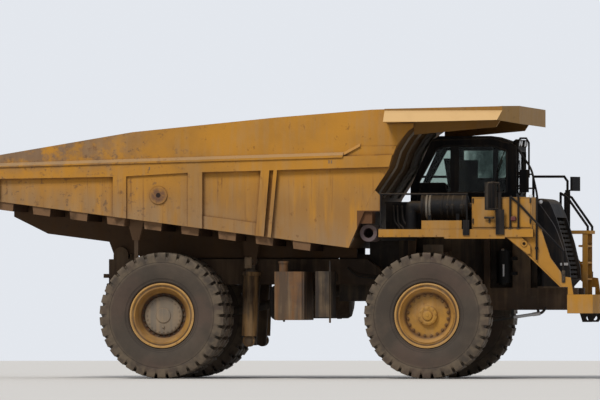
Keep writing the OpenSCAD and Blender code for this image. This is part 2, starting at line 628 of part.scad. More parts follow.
// Canopy: one outline seen from above, one from the side and one from the front cut each other
canopy_x = [fx - 580, shell_front + seat_fit, fx + 1100, fx + 1370];
canopy_nose_y = 1680;
function canopy_sky(x, inset) = canopy_top - 8 - 40 * (canopy_x[3] - x) / (canopy_x[3] - canopy_x[0]) - inset;
module canopy_form(inset) {
    h = canopy_w / 2 - inset;
    wing = wall_y + seat_fit;
    low = inset > 0 ? -20 : 0;
    edge = [[canopy_x[0] + inset, -h], [canopy_x[2], -h], [canopy_x[3] - inset, -canopy_nose_y]];
    rear = inset > 0 ? [[canopy_x[1] + inset, h], [canopy_x[1] + inset, -h]] :
        [[canopy_x[0], wing], [canopy_x[1], wing], [canopy_x[1], -wing], [canopy_x[0], -wing]];
    intersection() {
        plan(concat(edge, [for (i = [len(edge) - 1:-1:0]) [edge[i][0], -edge[i][1]]], rear), [canopy_low - 100, canopy_top + 10]);
        slab([[canopy_x[0], canopy_low + low], [canopy_x[2], canopy_low + 38 + low], [canopy_x[3], canopy_low - 10 + low],
              [canopy_x[3], canopy_top - inset], [canopy_x[2], canopy_sky(canopy_x[2], inset)],
              [canopy_x[0], canopy_sky(canopy_x[0], inset)]], [-h, h]);
        translate([canopy_x[0], 0, 0]) rotate([90, 0, 90]) linear_extrude(2400)
            polygon([[-h, canopy_low - 100], [-h, canopy_low + 14], [-h + canopy_flare, canopy_top - 74], [-h + canopy_flare, canopy_top + 10],
                     [h - canopy_flare, canopy_top + 10], [h - canopy_flare, canopy_top - 74], [h, canopy_low + 14], [h, canopy_low - 100]]);
    }
}
module canopy() {
    color(yellow) {
        difference() {
            canopy_form(0);
            difference() {
                canopy_form(canopy_t);
                for (y = [-1400, -500, 500, 1400]) box([shell_front, canopy_x[3]], [y - 25, y + 25], [canopy_low + 130, canopy_top]);
            }
        }
        // Side beams under the plate, deepest at the front wall
        both() slab([[canopy_x[1], canopy_low - 170], [canopy_x[2] - 60, canopy_low - 60], [canopy_x[2] + 10, canopy_low + 50],
                     [canopy_x[2], canopy_low + 120], [canopy_x[1], canopy_low + 120]], [wall_y - 60, wall_y]);
    }
}

// Hoist, drawn upright at its lower pin
module at_hoist(s) {
    side(s) translate([hoist_low[0], hoist_y, hoist_low[1]]) rotate([0, hoist_lean, 0]) children();
}
barrel_len = hoist_len - 160;
module hoist_barrel(s) {
    color(brown) at_hoist(s) difference() {
        union() {
            pin_z(0, 0, [70, barrel_len], barrel_d / 2);
            pin_z(0, 0, [barrel_len - 60, barrel_len], collar_r);
            pin_y(0, 0, 90, [-60, 60]);
            box([-60, 60], [-60, 60], [0, 80]);
        }
        pin_y(0, 0, hoist_pin_d / 2 + run_fit, [-61, 61]);
        pin_z(0, 0, [100, hoist_len], stage_d / 2 + run_fit);
    }
}
module hoist_tube(s) {
    color(steel) at_hoist(s) difference() {
        pin_z(0, 0, [105, barrel_len + 25], stage_d / 2);
        pin_z(0, 0, [125, hoist_len], rod_d / 2 + run_fit);
    }
}
module hoist_rod(s) {
    color("#c9b97a") at_hoist(s) {
        pin_z(0, 0, [130, hoist_len], rod_d / 2);
        pin_y(0, hoist_len, eye_r, [-eye_w / 2, eye_w / 2]);
    }
}

// Cab on the left, with its door on the outer side. Outlines are seen from the side, from the
// front axle and the deck.
cab_y1 = 1430;
cab_y0 = cab_y1 - cab_w;
cab_side = [[-490, 0], [-490, 640], [-200, 1290], [-150, 1360], [-60, cab_h], [730, cab_h], [980, 1330], [1104, 1255], [1104, 0]];
cab_room = [[-420, cab_t], [-420, 620], [-130, 1290], [-50, cab_h - cab_t], [715, cab_h - cab_t], [950, 1280], [1034, 1220], [1044, cab_t]];
door_side = [[66, 86], [66, 1284], [758, 1284], [954, 1215], [954, 86]];
door_hole = [[60, 80], [60, 1290], [760, 1290], [960, 1220], [960, 80]];
door_window = [[150, 560], [150, 1220], [750, 1220], [880, 1170], [880, 560]];
rear_window = [[-370, 700], [-95, 1210], [-10, 1210], [-10, 700]];
right_window = [[-30, 700], [-30, 1210], [40, 1260], [740, 1260], [960, 1190], [960, 560], [60, 560], [40, 700]];
screen_z = [deck_z + 560, deck_z + 1190];
module cab_slab(points, y) { translate([fx, 0, deck_z]) slab(points, y); }
// Door hinges: axis, and the heights of the two leaves
hinge = [fx + 60, cab_y1 + 15];
hinge_zs = [deck_z + 250, deck_z + 1000];
hinge_r = 10;
leaf_h = 60;
module cab_shell() {
    color(dark) for (z = hinge_zs) {
        pin_z(hinge[0], hinge[1], [z - 20, z + leaf_h + 20], hinge_r);
        for (a = [z - 30, z + leaf_h + 11]) {
            box([hinge[0] - 40, hinge[0]], [cab_y1, hinge[1] + 12], [a, a + 19]);
            pin_z(hinge[0], hinge[1], [a, a + 19], 12);
        }
    }
    color(dark) difference() {
        cab_slab(cab_side, [cab_y0, cab_y1]);
        cab_slab(cab_room, [cab_y0 + cab_t, cab_y1 - cab_t]);
        cab_slab(door_hole, [cab_y1 - cab_t - 10, cab_y1 + 10]);
        cab_slab(rear_window, [cab_y0 - 10, cab_y1 + 10]);
        cab_slab(right_window, [cab_y0 - 10, cab_y0 + cab_t + 10]);
        // Windscreen and rear window
        box([fx + 1000, fx + 1150], [cab_y0 + 100, cab_y1 - 100], screen_z);
        box([fx - 500, fx - 100], [cab_y0 + 130, cab_y1 - 130], [deck_z + 700, deck_z + 1180]);
    }
}
module cab_door() {
    color(dark) for (z = hinge_zs) difference() {
        union() {
            pin_z(hinge[0], hinge[1], [z, z + leaf_h], 14);
            box([hinge[0], hinge[0] + 60], [cab_y1 + 1, hinge[1] + 14], [z, z + leaf_h]);
            box([hinge[0] + 10, hinge[0] + 60], [cab_y1 - 1, hinge[1] + 14], [z, z + leaf_h]);
        }
        pin_z(hinge[0], hinge[1], [z - 1, z + leaf_h + 1], hinge_r + run_fit);
    }
    color(dark) difference() {
        cab_slab(door_side, [cab_y1 - cab_t, cab_y1]);
        cab_slab(door_window, [cab_y1 - cab_t - 10, cab_y1 + 10]);
    }
}
glass_t = 10;
module door_glass() { color("#7d9a86") cab_slab(door_window, [cab_y1 - 36, cab_y1 - 36 + glass_t]); }
module cab_glass() {
    color("#7d9a86") {
        for (y = [cab_y0 + 25, cab_y1 - 35]) cab_slab(rear_window, [y, y + glass_t]);
        cab_slab(right_window, [cab_y0 + 25, cab_y0 + 25 + glass_t]);
        box([fx + 1068, fx + 1068 + glass_t], [cab_y0 + 100, cab_y1 - 100], screen_z);
    }
}
module cab_inside() {
    y = (cab_y0 + cab_y1) / 2;
    floor_z = deck_z + cab_t;
    color("#2b2a28") {
        // Seat on its base, with the back leaning
        box([fx + 120, fx + 460], [y - 180, y + 180], [floor_z, floor_z + 290]);
        box([fx + 40, fx + 540], [y - 250, y + 250], [floor_z + 290, floor_z + 420]);
        slab([[fx + 60, floor_z + 400], [fx + 160, floor_z + 400], [fx + 50, floor_z + 1020], [fx - 40, floor_z + 1020]], [y - 240, y + 240]);
        // Dash and steering column
        slab([[fx + 1032, floor_z], [fx + 1032, floor_z + 500], [fx + 960, floor_z + 540], [fx + 850, floor_z + 440], [fx + 880, floor_z]],
             [cab_y0 + cab_t, cab_y1 - cab_t - 20]);
        bar([fx + 900, y, floor_z + 400], [fx + 735, y, floor_z + 620], 30);
        translate([fx + 735, y, floor_z + 620]) rotate([0, -37, 0]) rotate_extrude() translate([185, 0]) circle(r = 14, $fn = 16);
        bar([fx + 735 - 148, y, floor_z + 620 - 111], [fx + 735 + 148, y, floor_z + 620 + 111], 11);
    }
}

// Decks, fender braces, rails and what stands on the decks
deck_y = deck_w / 2;
deck_rear = fx - 700;
deck_front = fx + 1600;
edge_beam = 60;
landing = [[deck_front, 1120], [fx + 2110, 1120], [fx + 2110, 1780], [deck_front, 1780]];
cabinet = [[fx + 686, deck_z], [fx + 686, 2689], [fx + 1578, 2689], [fx + 1578, deck_z]];
module decks() {
    hood_y = hood_w / 2 + 10;
    hood_x = fx + hood_rear - 10;
    low = deck_z - deck_t;
    color(yellow) {
        difference() {
            plan([[deck_rear, -deck_y], [deck_front, -deck_y], [deck_front, -hood_y], [hood_x, -hood_y], [hood_x, hood_y],
                  [deck_front, hood_y], [deck_front, deck_y], [deck_rear, deck_y]], [low, deck_z]);
            // Pockets between the edge beams and the cross ribs
            for (x = [[deck_rear + edge_beam, fx - 500], [fx - 440, fx + 640], [fx + 850, hood_x - edge_beam]])
                box(x, [-deck_y + edge_beam, deck_y - edge_beam], [low - 1, deck_z - deck_plate]);
            for (s = [-1, 1]) side(s)
                box([hood_x, deck_front - edge_beam], [hood_y + edge_beam, deck_y - edge_beam], [low - 1, deck_z - deck_plate]);
        }
        plan(landing, [deck_z - 50, deck_z]);
        // The edge beams are deeper over the front wheels
        both() box([fx + 280, fx + 1180], [deck_y - edge_beam, deck_y], [low - 25, low + 10]);
        // Cabinet on the right deck, step and shelf beside it
        slab(cabinet, [-deck_y + 60, -deck_y + 560]);
        box([fx - 60, fx + 540], [-deck_y + 10, -deck_y + 60], [deck_z, deck_z + 130]);
    }
}
brace_t = 60;
brace_ring = [fx + 1467, 2000];
module fender_braces() {
    low = deck_z - deck_t;
    out = deck_y - 70;
    color(yellow) both() {
        difference() {
            union() {
                // Main plate down to the bumper, its lower flange, and the outer end plate
                slab([[fx + 1190, low - seat_fit], [fx + 1510, 1834], [fx + 2000, 1361], [bumper_rear + 10, 1361],
                      [bumper_rear + 10, bumper_top + seat_fit], [bumper_rear + 90, bumper_top + seat_fit], [bumper_rear + 50, 1500],
                      [fx + 2020, 1520], [fx + 2005, 1580], [fx + 1850, 1790], [fx + 1690, deck_z + 60],
                      [deck_front + seat_fit, deck_z + 60], [deck_front + seat_fit, low - seat_fit]],
                     [out - brace_t, out]);
                slab([[fx + 1190, low - seat_fit], [fx + 1510, 1834], [fx + 2000, 1361], [fx + 2020, 1361], [fx + 1520, 1850],
                      [fx + 1220, low - seat_fit]],
                     [out - 80, out + 14]);
                slab([[fx + 1200, low - seat_fit], [fx + 1510, 1850], [fx + 1560, 1850], [fx + 1560, 1960], [fx + 1430, low - seat_fit]],
                     [out, out + 45]);
            }
            pin_y(brace_ring[0], brace_ring[1], 24, [out - brace_t - 1, out + 50]);
        }
        difference() {
            pin_y(brace_ring[0], brace_ring[1], 46, [out + 40, out + 58]);
            pin_y(brace_ring[0], brace_ring[1], 24, [out + 30, out + 60]);
        }
    }
}
rod_x = fx + 1650;
module handrails() {
    r = tube_d / 2;
    y = deck_y - 45;
    top = deck_z + 820;
    color(dark) {
        // Left deck: along the outer edge, then forward and down beside the ladder
        pipe([[fx - 600, y, deck_z], [fx - 600, y, top], [fx - 60, y, top], [fx - 60, y, deck_z]], r);
        pipe([[fx + 1160, y, deck_z], [fx + 1160, y, top], [fx + 1630, y, top], [fx + 1680, y, top - 70], [fx + 1680, y, deck_z + 100],
              [deck_front - 40, y, deck_z + 100], [deck_front - 40, y, deck_z]], r);
        for (v = [landing[0][1] + 30, landing[2][1] - 30])
            pipe([[deck_front + 60, v, deck_z], [deck_front + 60, v, deck_z + 560], [fx + 1760, v, deck_z + 500], [fx + 2070, v, deck_z + 60],
                  [fx + 2070, v, deck_z]], r);
        // Right deck: posts, the sloping rail over the hood's side, and the low rail at the rear
        for (x = [fx + 1260, fx + 1380]) bar([x, -deck_y + 28, deck_z], [x, -deck_y + 28, 2705], 14);
        pipe([[fx + 1260, -deck_y + 28, 2700], [fx + 1380, -deck_y + 28, 2600], [fx + 1700, -deck_y + 28, 2256],
              [fx + 2030, -deck_y + 95, 1900], [fx + 2040, -deck_y + 105, 1570]], 15);
        pipe([[deck_rear + 30, -y, deck_z], [deck_rear + 30, -y, 2735], [fx + 615, -y, 2735], [fx + 615, -y, deck_z]], 14);
        box([fx + 560, fx + 655], [-deck_y - 20, -deck_y - seat_fit], [deck_z - 90, deck_z + 135]);
        // Upright rod with its knob, ahead of the right deck
        pin_z(rod_x, -deck_y + 45, [1760, 2690], 14);
        pin_z(rod_x, -deck_y + 45, [1915, 1950], 24);
    }
}
module stairs() {
    ladder = [fx + 1990, fx + 2070];
    rungs = 4;
    color(yellow) {
        for (y = [landing[0][1] + 10, landing[2][1] - 40]) box(ladder, [y, y + 30], [bumper_top - 200, deck_z - 50]);
        for (i = [0:rungs - 1]) {
            z = bumper_top - 30 + i * (deck_z - bumper_top + 30) / rungs;
            box([ladder[0] - 60, ladder[1]], [landing[0][1] + 30, landing[2][1] - 30], [z, z + 30]);
        }
        // Foot brackets to the bumper's rear face
        for (y = [landing[0][1] + 10, landing[2][1] - 40]) box([ladder[1] - 20, bumper_rear], [y, y + 30], [bumper_top - 180, bumper_top - 60]);
    }
}
post_x = fx + 1100;
hoop_x = [fx + 1122, fx + 1292];
hoop_y = cab_y0 + 40;
module mirrors() {
    y = deck_y - 20;
    color(dark) {
        // Right: post on the deck's edge, C-shaped bracket and plate
        side(-1) {
            pin_z(post_x, y, [deck_z, 2760], 30);
            box([post_x - 50, post_x + 75], [deck_y + seat_fit, deck_y + 20], [deck_z - 80, deck_z + 290]);
            pipe([[post_x, y, 2740], [post_x, y + 70, 2890], [post_x - 110, y + 110, 2905]], 14);
            bar([post_x, y, 2515], [post_x - 110, y + 110, 2505], 14);
            translate([post_x - 120, y + 110, 0]) rotate([0, 0, 25]) box([-20, 20], [-130, 130], [2495, 2910]);
        }
        // Left: tall post at the front corner
        for (x = [0, 50]) pin_z(deck_front + 80 + x, landing[2][1] - 90, [deck_z, 2830], 14);
        bar([deck_front + 130, landing[2][1] - 90, 2822], [deck_front + 215, landing[2][1] - 50, 2860], 11);
        translate([deck_front + 215, landing[2][1] - 50, 0]) rotate([0, 0, -20]) box([-20, 20], [-130, 130], [2815, 3030]);
        // Hoop on the cab's right front corner
        pipe([[hoop_x[0], hoop_y, 2760], [hoop_x[0], hoop_y, 3520], [hoop_x[0] + 40, hoop_y, 3590], [hoop_x[1] - 40, hoop_y, 3590],
              [hoop_x[1], hoop_y, 3520], [hoop_x[1], hoop_y, 3000]], 14);
        slab([[fx + 1150, 2780], [fx + 1150, 3120], [fx + 1290, 3120], [fx + 1290, 2780]], [hoop_y - 15, hoop_y + 15]);
        for (z = [2860, 3060]) box([fx + 1104 + seat_fit, fx + 1155], [hoop_y - 10, hoop_y + 10], [z, z + 30]);
    }
}
cleaner_z = 2548;
module air_cleaner() {
    // Body turned round X with its bands, the elbow behind it, and the two saddles
    color(dark) translate([fx, -1500, 0]) {
        translate([0, 0, cleaner_z]) turned_x([[0, -105], [186, -105], [186, -70], [172, -66], [172, 195], [184, 199],
            [184, 226], [172, 230], [172, 540], [184, 544], [184, 575], [150, 590], [0, 590]]);
        pin_x([-260, -100], 0, cleaner_z, 88);
        translate([-260, 0, cleaner_z]) sphere(r = 88);
        pin_z(-260, 0, [deck_z, cleaner_z], 88);
        for (x = [0, 420]) box([x, x + 50], [-140, 140], [deck_z, cleaner_z - 100]);
    }
}
module exhaust() {
    color(steel) difference() {
        union() {
            pin_y(fx - 880, 2161, 127, [-1700, -1000]);
            box([fx - 800, deck_rear], [-1500, -1400], [2110, 2205]);
        }
        pin_y(fx - 880, 2161, 74, [-1710, -1300]);
    }
}
// Tanks between the wheels, on brackets from the rails
module hydraulic_tank() {
    color(brown) {
        difference() {
            union() {
                slab([[1670, 870], [1670, 1590], [2110, 1590], [2110, 870]], [-1700, -rail_y1 - 100]);
                pin_z(1790, -1560, [1580, 1720], 66);
            }
            for (x = [1670, 2110]) pin_z(x, -1700, [800, 1800], 30);
        }
        pin_z(1790, -1560, [1715, 1745], 78);
        box([1750, 2040], [-rail_y1 - 100, -rail_y1], [1450, 1560]);
        slab([[2279, 915], [2279, 1595], [2484, 1595], [2484, 915]], [-1640, -900]);
        box([2300, 2460], [-900, -rail_y1], [1450, 1560]);
        pin_z(2492, -1600, [830, 1750], 15);
    }
}
module fuel_tank() {
    tank_l = 900;
    r = 340;
    color(brown) {
        translate([1560, 1220, 1230]) turned_x([[0, 0], [r - 120, 4], [r - 30, 30], [r, 80], [r, 180], [r + 8, 180], [r + 8, 240], [r, 240],
            [r, tank_l - 240], [r + 8, tank_l - 240], [r + 8, tank_l - 180], [r, tank_l - 180], [r, tank_l - 80], [r - 30, tank_l - 30],
            [r - 120, tank_l - 4], [0, tank_l]]);
        pin_z(2010, 1300, [1500, 1620], 60);
        for (x = [1740, 2240]) box([x, x + 60], [rail_y1, 1060], [1450, 1540]);
    }
}

// Accumulators of the brakes, on brackets from the legs under the decks
module accumulators() {
    x = fx + 1015;
    y = 700;
    color(dark) both() {
        pin_z(x, y, [1425, 1905], 105);
        pin_z(x, y, [1400, 1930], 70);
        for (z = [1540, 1760]) box([x - 60, x + 190], [rail_y1 + seat_fit, y - 60], [z, z + 50]);
    }
}
// Box of the batteries on the deck behind the cab
module battery_box() {
    color(dark) {
        box([deck_rear + 30, fx - 320], [-1300, 80], [deck_z, 2600]);
        box([deck_rear + 20, fx - 310], [-1310, 90], [2600, 2625]);
        for (y = [-1000, -300]) box([fx - 325, fx - 305], [y - 60, y + 60], [2440, 2470]);
    }
}

placed() frame();
placed() frame_members();
placed() bumper();
placed() drive_train();
placed() hood();
placed() grille();
placed() rear_axle();
placed() rear_struts();
placed() front_struts();
placed() knuckle(1);  // knuckle_left
placed() knuckle(-1);  // knuckle_right
placed() tie_rod();
placed() tyre_front(1);  // tyre_front_left
placed() tyre_front(-1);  // tyre_front_right
placed() rim_front(1);  // rim_front_left
placed() rim_front(-1);  // rim_front_right
placed() tyres_rear(1);  // tyres_rear_left
placed() tyres_rear(-1);  // tyres_rear_right
placed() rims_rear(1);  // rims_rear_left
placed() rims_rear(-1);  // rims_rear_right
placed() final_drive(1);  // final_drive_left
placed() final_drive(-1);  // final_drive_right
placed() bed_shell();
placed() bed_ribs();
placed() bed_beams();
placed() canopy();
placed() rock_bar(1);  // rock_bar_left
placed() rock_bar(-1);  // rock_bar_right
placed() hoist_barrel(1);  // hoist_barrel_left
placed() hoist_barrel(-1);  // hoist_barrel_right
placed() hoist_tube(1);  // hoist_tube_left
placed() hoist_tube(-1);  // hoist_tube_right
placed() hoist_rod(1);  // hoist_rod_left
placed() hoist_rod(-1);  // hoist_rod_right
placed() cab_shell();
placed() cab_door();
placed() cab_glass();
placed() door_glass();
placed() cab_inside();
placed() decks();
placed() fender_braces();
placed() handrails();
placed() stairs();
placed() mirrors();
placed() air_cleaner();
placed() exhaust();
placed() hydraulic_tank();
placed() fuel_tank();
placed() accumulators();
placed() battery_box();
placed() lamps();
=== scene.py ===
"""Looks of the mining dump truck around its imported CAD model. Metres, +X forward, +Y left, +Z up."""

import json
import math

import bmesh
import bpy
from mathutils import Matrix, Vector


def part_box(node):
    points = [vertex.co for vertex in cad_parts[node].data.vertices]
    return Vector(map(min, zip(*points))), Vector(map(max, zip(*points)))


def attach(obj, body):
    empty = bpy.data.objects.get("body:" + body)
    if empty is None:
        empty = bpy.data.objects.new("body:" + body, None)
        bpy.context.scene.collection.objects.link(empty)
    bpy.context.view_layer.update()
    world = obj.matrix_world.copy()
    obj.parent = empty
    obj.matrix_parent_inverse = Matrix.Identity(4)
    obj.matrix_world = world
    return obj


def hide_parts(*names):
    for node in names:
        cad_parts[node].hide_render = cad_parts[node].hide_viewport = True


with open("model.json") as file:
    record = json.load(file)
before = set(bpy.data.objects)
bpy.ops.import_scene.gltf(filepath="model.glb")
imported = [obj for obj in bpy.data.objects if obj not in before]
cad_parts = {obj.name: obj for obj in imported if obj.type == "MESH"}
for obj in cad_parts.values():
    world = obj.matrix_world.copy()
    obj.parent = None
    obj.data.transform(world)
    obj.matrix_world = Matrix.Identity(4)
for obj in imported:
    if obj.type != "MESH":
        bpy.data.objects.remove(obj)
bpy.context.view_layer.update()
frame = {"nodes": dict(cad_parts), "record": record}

# Driving sizes, read from the frame
PI = math.pi
tyre_low, tyre_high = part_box("tyre_front_left")
TYRE_R = (tyre_high.z - tyre_low.z) / 2
TYRE_HALF = (tyre_high.y - tyre_low.y) / 2
FRONT_X = (tyre_high.x + tyre_low.x) / 2
FRONT_Y = (tyre_high.y + tyre_low.y) / 2
rear_low, rear_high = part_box("tyres_rear_left")
REAR_X = (rear_high.x + rear_low.x) / 2
TWIN_YS = (rear_low.y + TYRE_HALF, rear_high.y - TYRE_HALF)
DRIVE_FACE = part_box("final_drive_left")[1].y - 0.07
BED_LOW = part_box("bed_shell")[0].z
BUMPER_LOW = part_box("bumper")[0].z
CANOPY_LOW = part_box("canopy")[0].z
TAIL_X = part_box("frame_members")[0].x
tank_low, tank_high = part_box("hydraulic_tank")
rock_low, rock_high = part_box("rock_bar_left")
ROCK_X, ROCK_Z = (rock_low.x + rock_high.x) / 2, rock_high.z
# In millimetres: from the rear axle to the front one, and from the middle to the decks' sides
FX = (FRONT_X - REAR_X) * 1000
DECK_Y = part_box("decks")[1].y * 1000

# The bed's floor slopes down to the foot of the front wall, at this place along the truck
FLOOR_SLOPE = math.tan(math.radians(7.5))
BED_FRONT_X = 0.863
# Inner faces of the bed's side walls
WALL_IN = 1.785
# Middle of the round cover on the bed's sides: along the truck, and height
COVER = (-1.98, 2.723)

# Colours, linear
OCHRE = (0.465, 0.213, 0.027)
OCHRE_DULL = (0.325, 0.158, 0.033)
DUST = (0.33, 0.225, 0.125)
DARK_DUST = (0.10, 0.068, 0.042)
RUST = (0.13, 0.052, 0.02)
BLACK = (0.0060, 0.0060, 0.0075)
BLACK_WORN = (0.012, 0.011, 0.0115)
COAL = (0.005, 0.005, 0.006)
COAL_WORN = (0.009, 0.008, 0.008)
SKY = (0.77, 0.80, 0.85, 1)
# A place ahead of the truck, so that a look which starts there is never seen
NOWHERE = 9.0


class Tree:
    """A material with short ways to write its nodes."""

    def __init__(self, name, **shader):
        self.material = bpy.data.materials.new(name)
        self.material.use_nodes = True
        self.nodes = self.material.node_tree.nodes
        self.links = self.material.node_tree.links
        self.shader = self.nodes["Principled BSDF"]
        coordinates = self.add("TexCoord")
        self.place = coordinates.outputs["Object"]
        self.x, self.y, self.z = self.add("SeparateXYZ", Vector=self.place).outputs
        self.normal = self.add("SeparateXYZ", Vector=coordinates.outputs["Normal"]).outputs
        for socket, value in shader.items():
            self.shader.inputs[socket.replace("_", " ")].default_value = value

    def put(self, socket, value):
        if isinstance(value, bpy.types.NodeSocket):
            self.links.new(value, socket)
        elif socket.type == "RGBA":
            socket.default_value = (*value, 1)
        else:
            socket.default_value = value

    def add(self, kind, settings=(), **sockets):
        node = self.nodes.new("ShaderNode" + kind)
        for key, value in settings:
            setattr(node, key, value)
        for key, value in sockets.items():
            self.put(node.inputs[key.replace("_", " ")], value)
        return node

    def math(self, operation, *values):
        node = self.add("Math", [("operation", operation)])
        for socket, value in zip(node.inputs, values):
            self.put(socket, value)
        return node.outputs[0]

    def times(self, *values):
        product = values[0]
        for value in values[1:]:
            product = self.math("MULTIPLY", product, value)
        return product

    def abs(self, value):
        return self.math("ABSOLUTE", value)

    def step(self, value, low, high):
        """0 below low, 1 above high and smooth between; low may be the larger one."""
        node = self.add("MapRange", [("interpolation_type", "SMOOTHSTEP")], Value=value)
        self.put(node.inputs["From Min"], low)
        self.put(node.inputs["From Max"], high)
        return node.outputs[0]

    def band(self, value, low, high, soft):
        """1 between low and high, and 0 outside."""
        from_low = self.step(value, low - soft, low + soft)
        return self.times(from_low, self.step(value, high + soft, high - soft))

    def noise(self, scale, detail, stretch=(1, 1, 1), rough=0.55):
        place = self.add("VectorMath", [("operation", "MULTIPLY")])
        self.put(place.inputs[0], self.place)
        place.inputs[1].default_value = stretch
        node = self.add("TexNoise", Vector=place.outputs[0], Scale=scale, Detail=detail, Roughness=rough)
        return node.outputs["Fac"]

    def mix(self, share, a, b):
        node = self.add("Mix", [("data_type", "RGBA")])
        self.put(node.inputs[0], share)
        self.put(node.inputs[6], a)
        self.put(node.inputs[7], b)
        return node.outputs[2]

    def edges(self, radius):
        """1 on sharp edges, 0 on flat faces."""
        soft = self.add("Bevel", [("samples", 4)], Radius=radius).outputs[0]
        flat = self.add("NewGeometry").outputs["Normal"]
        same = self.add("VectorMath", [("operation", "DOT_PRODUCT")])
        self.put(same.inputs[0], soft)
        self.put(same.inputs[1], flat)
        return self.step(same.outputs["Value"], 0.99, 0.8)

    def corners(self, reach):
        """1 in corners and seams, 0 in the open."""
        open_share = self.add("AmbientOcclusion", [("samples", 6)], Distance=reach).outputs["AO"]
        return self.step(open_share, 0.85, 0.45)

    def near(self, x, z, inner, outer):
        """1 within inner of a line along Y through x and z, and 0 beyond outer."""
        a = self.math("SUBTRACT", self.x, x)
        b = self.math("SUBTRACT", self.z, z)
        away = self.math("SQRT", self.math("ADD", self.times(a, a), self.times(b, b)))
        return self.step(away, outer, inner)

    def bump(self, height, strength, distance):
        node = self.add("Bump", Strength=strength, Distance=distance, Height=height)
        self.put(self.shader.inputs["Normal"], node.outputs[0])

    def done(self, colour, roughness, share):
        """The finished material: its roughness is a half and that share of the given one more."""
        self.put(self.shader.inputs["Base Color"], colour)
        self.put(self.shader.inputs["Roughness"], self.math("MULTIPLY_ADD", roughness, share, 0.5))
        return self.material


def floor_height(t):
    """How far a point is above the lower face of the bed's floor."""
    lowered = t.math("SUBTRACT", t.times(t.x, FLOOR_SLOPE), BED_LOW + BED_FRONT_X * FLOOR_SLOPE)
    return t.math("ADD", t.z, lowered)


def weathered(t, colour, dust=0.5, ledge=0.7, worn=0.5, bare=DARK_DUST, seam=0.6, specks=0.5):
    """Dust in patches, streaks and on ledges, dirt and painted shade in corners, rust specks and worn edges
    over a colour.
    """
    patches = t.noise(1.7, 6)
    streaks = t.noise(2.6, 6, stretch=(5, 5, 0.3))
    film = t.times(t.step(t.math("ADD", patches, streaks), 0.9, 1.3), dust)
    colour = t.mix(film, colour, DUST)
    colour = t.mix(t.times(t.step(t.normal[2], 0.4, 0.95), ledge), colour, DUST)
    rust = t.times(t.step(t.noise(9, 7, stretch=(1, 1, 0.7), rough=0.7), 0.60, 0.68), specks)
    colour = t.mix(rust, colour, bare)
    # Dirt and painted shade: corners and seams, found by ambient occlusion, darkened towards the bare
    # colour
    corner_dirt_and_shade = t.times(t.corners(0.07), t.step(t.noise(4, 5), 0.25, 0.5), seam)
    colour = t.mix(corner_dirt_and_shade, colour, bare)
    chips = t.times(t.edges(0.018), t.step(t.noise(6, 5), 0.44, 0.62), worn)
    colour = t.mix(chips, colour, bare)
    t.bump(t.noise(35, 3), 0.25, 0.004)
    return colour, t.step(t.noise(5, 4), -0.5, 1.0)


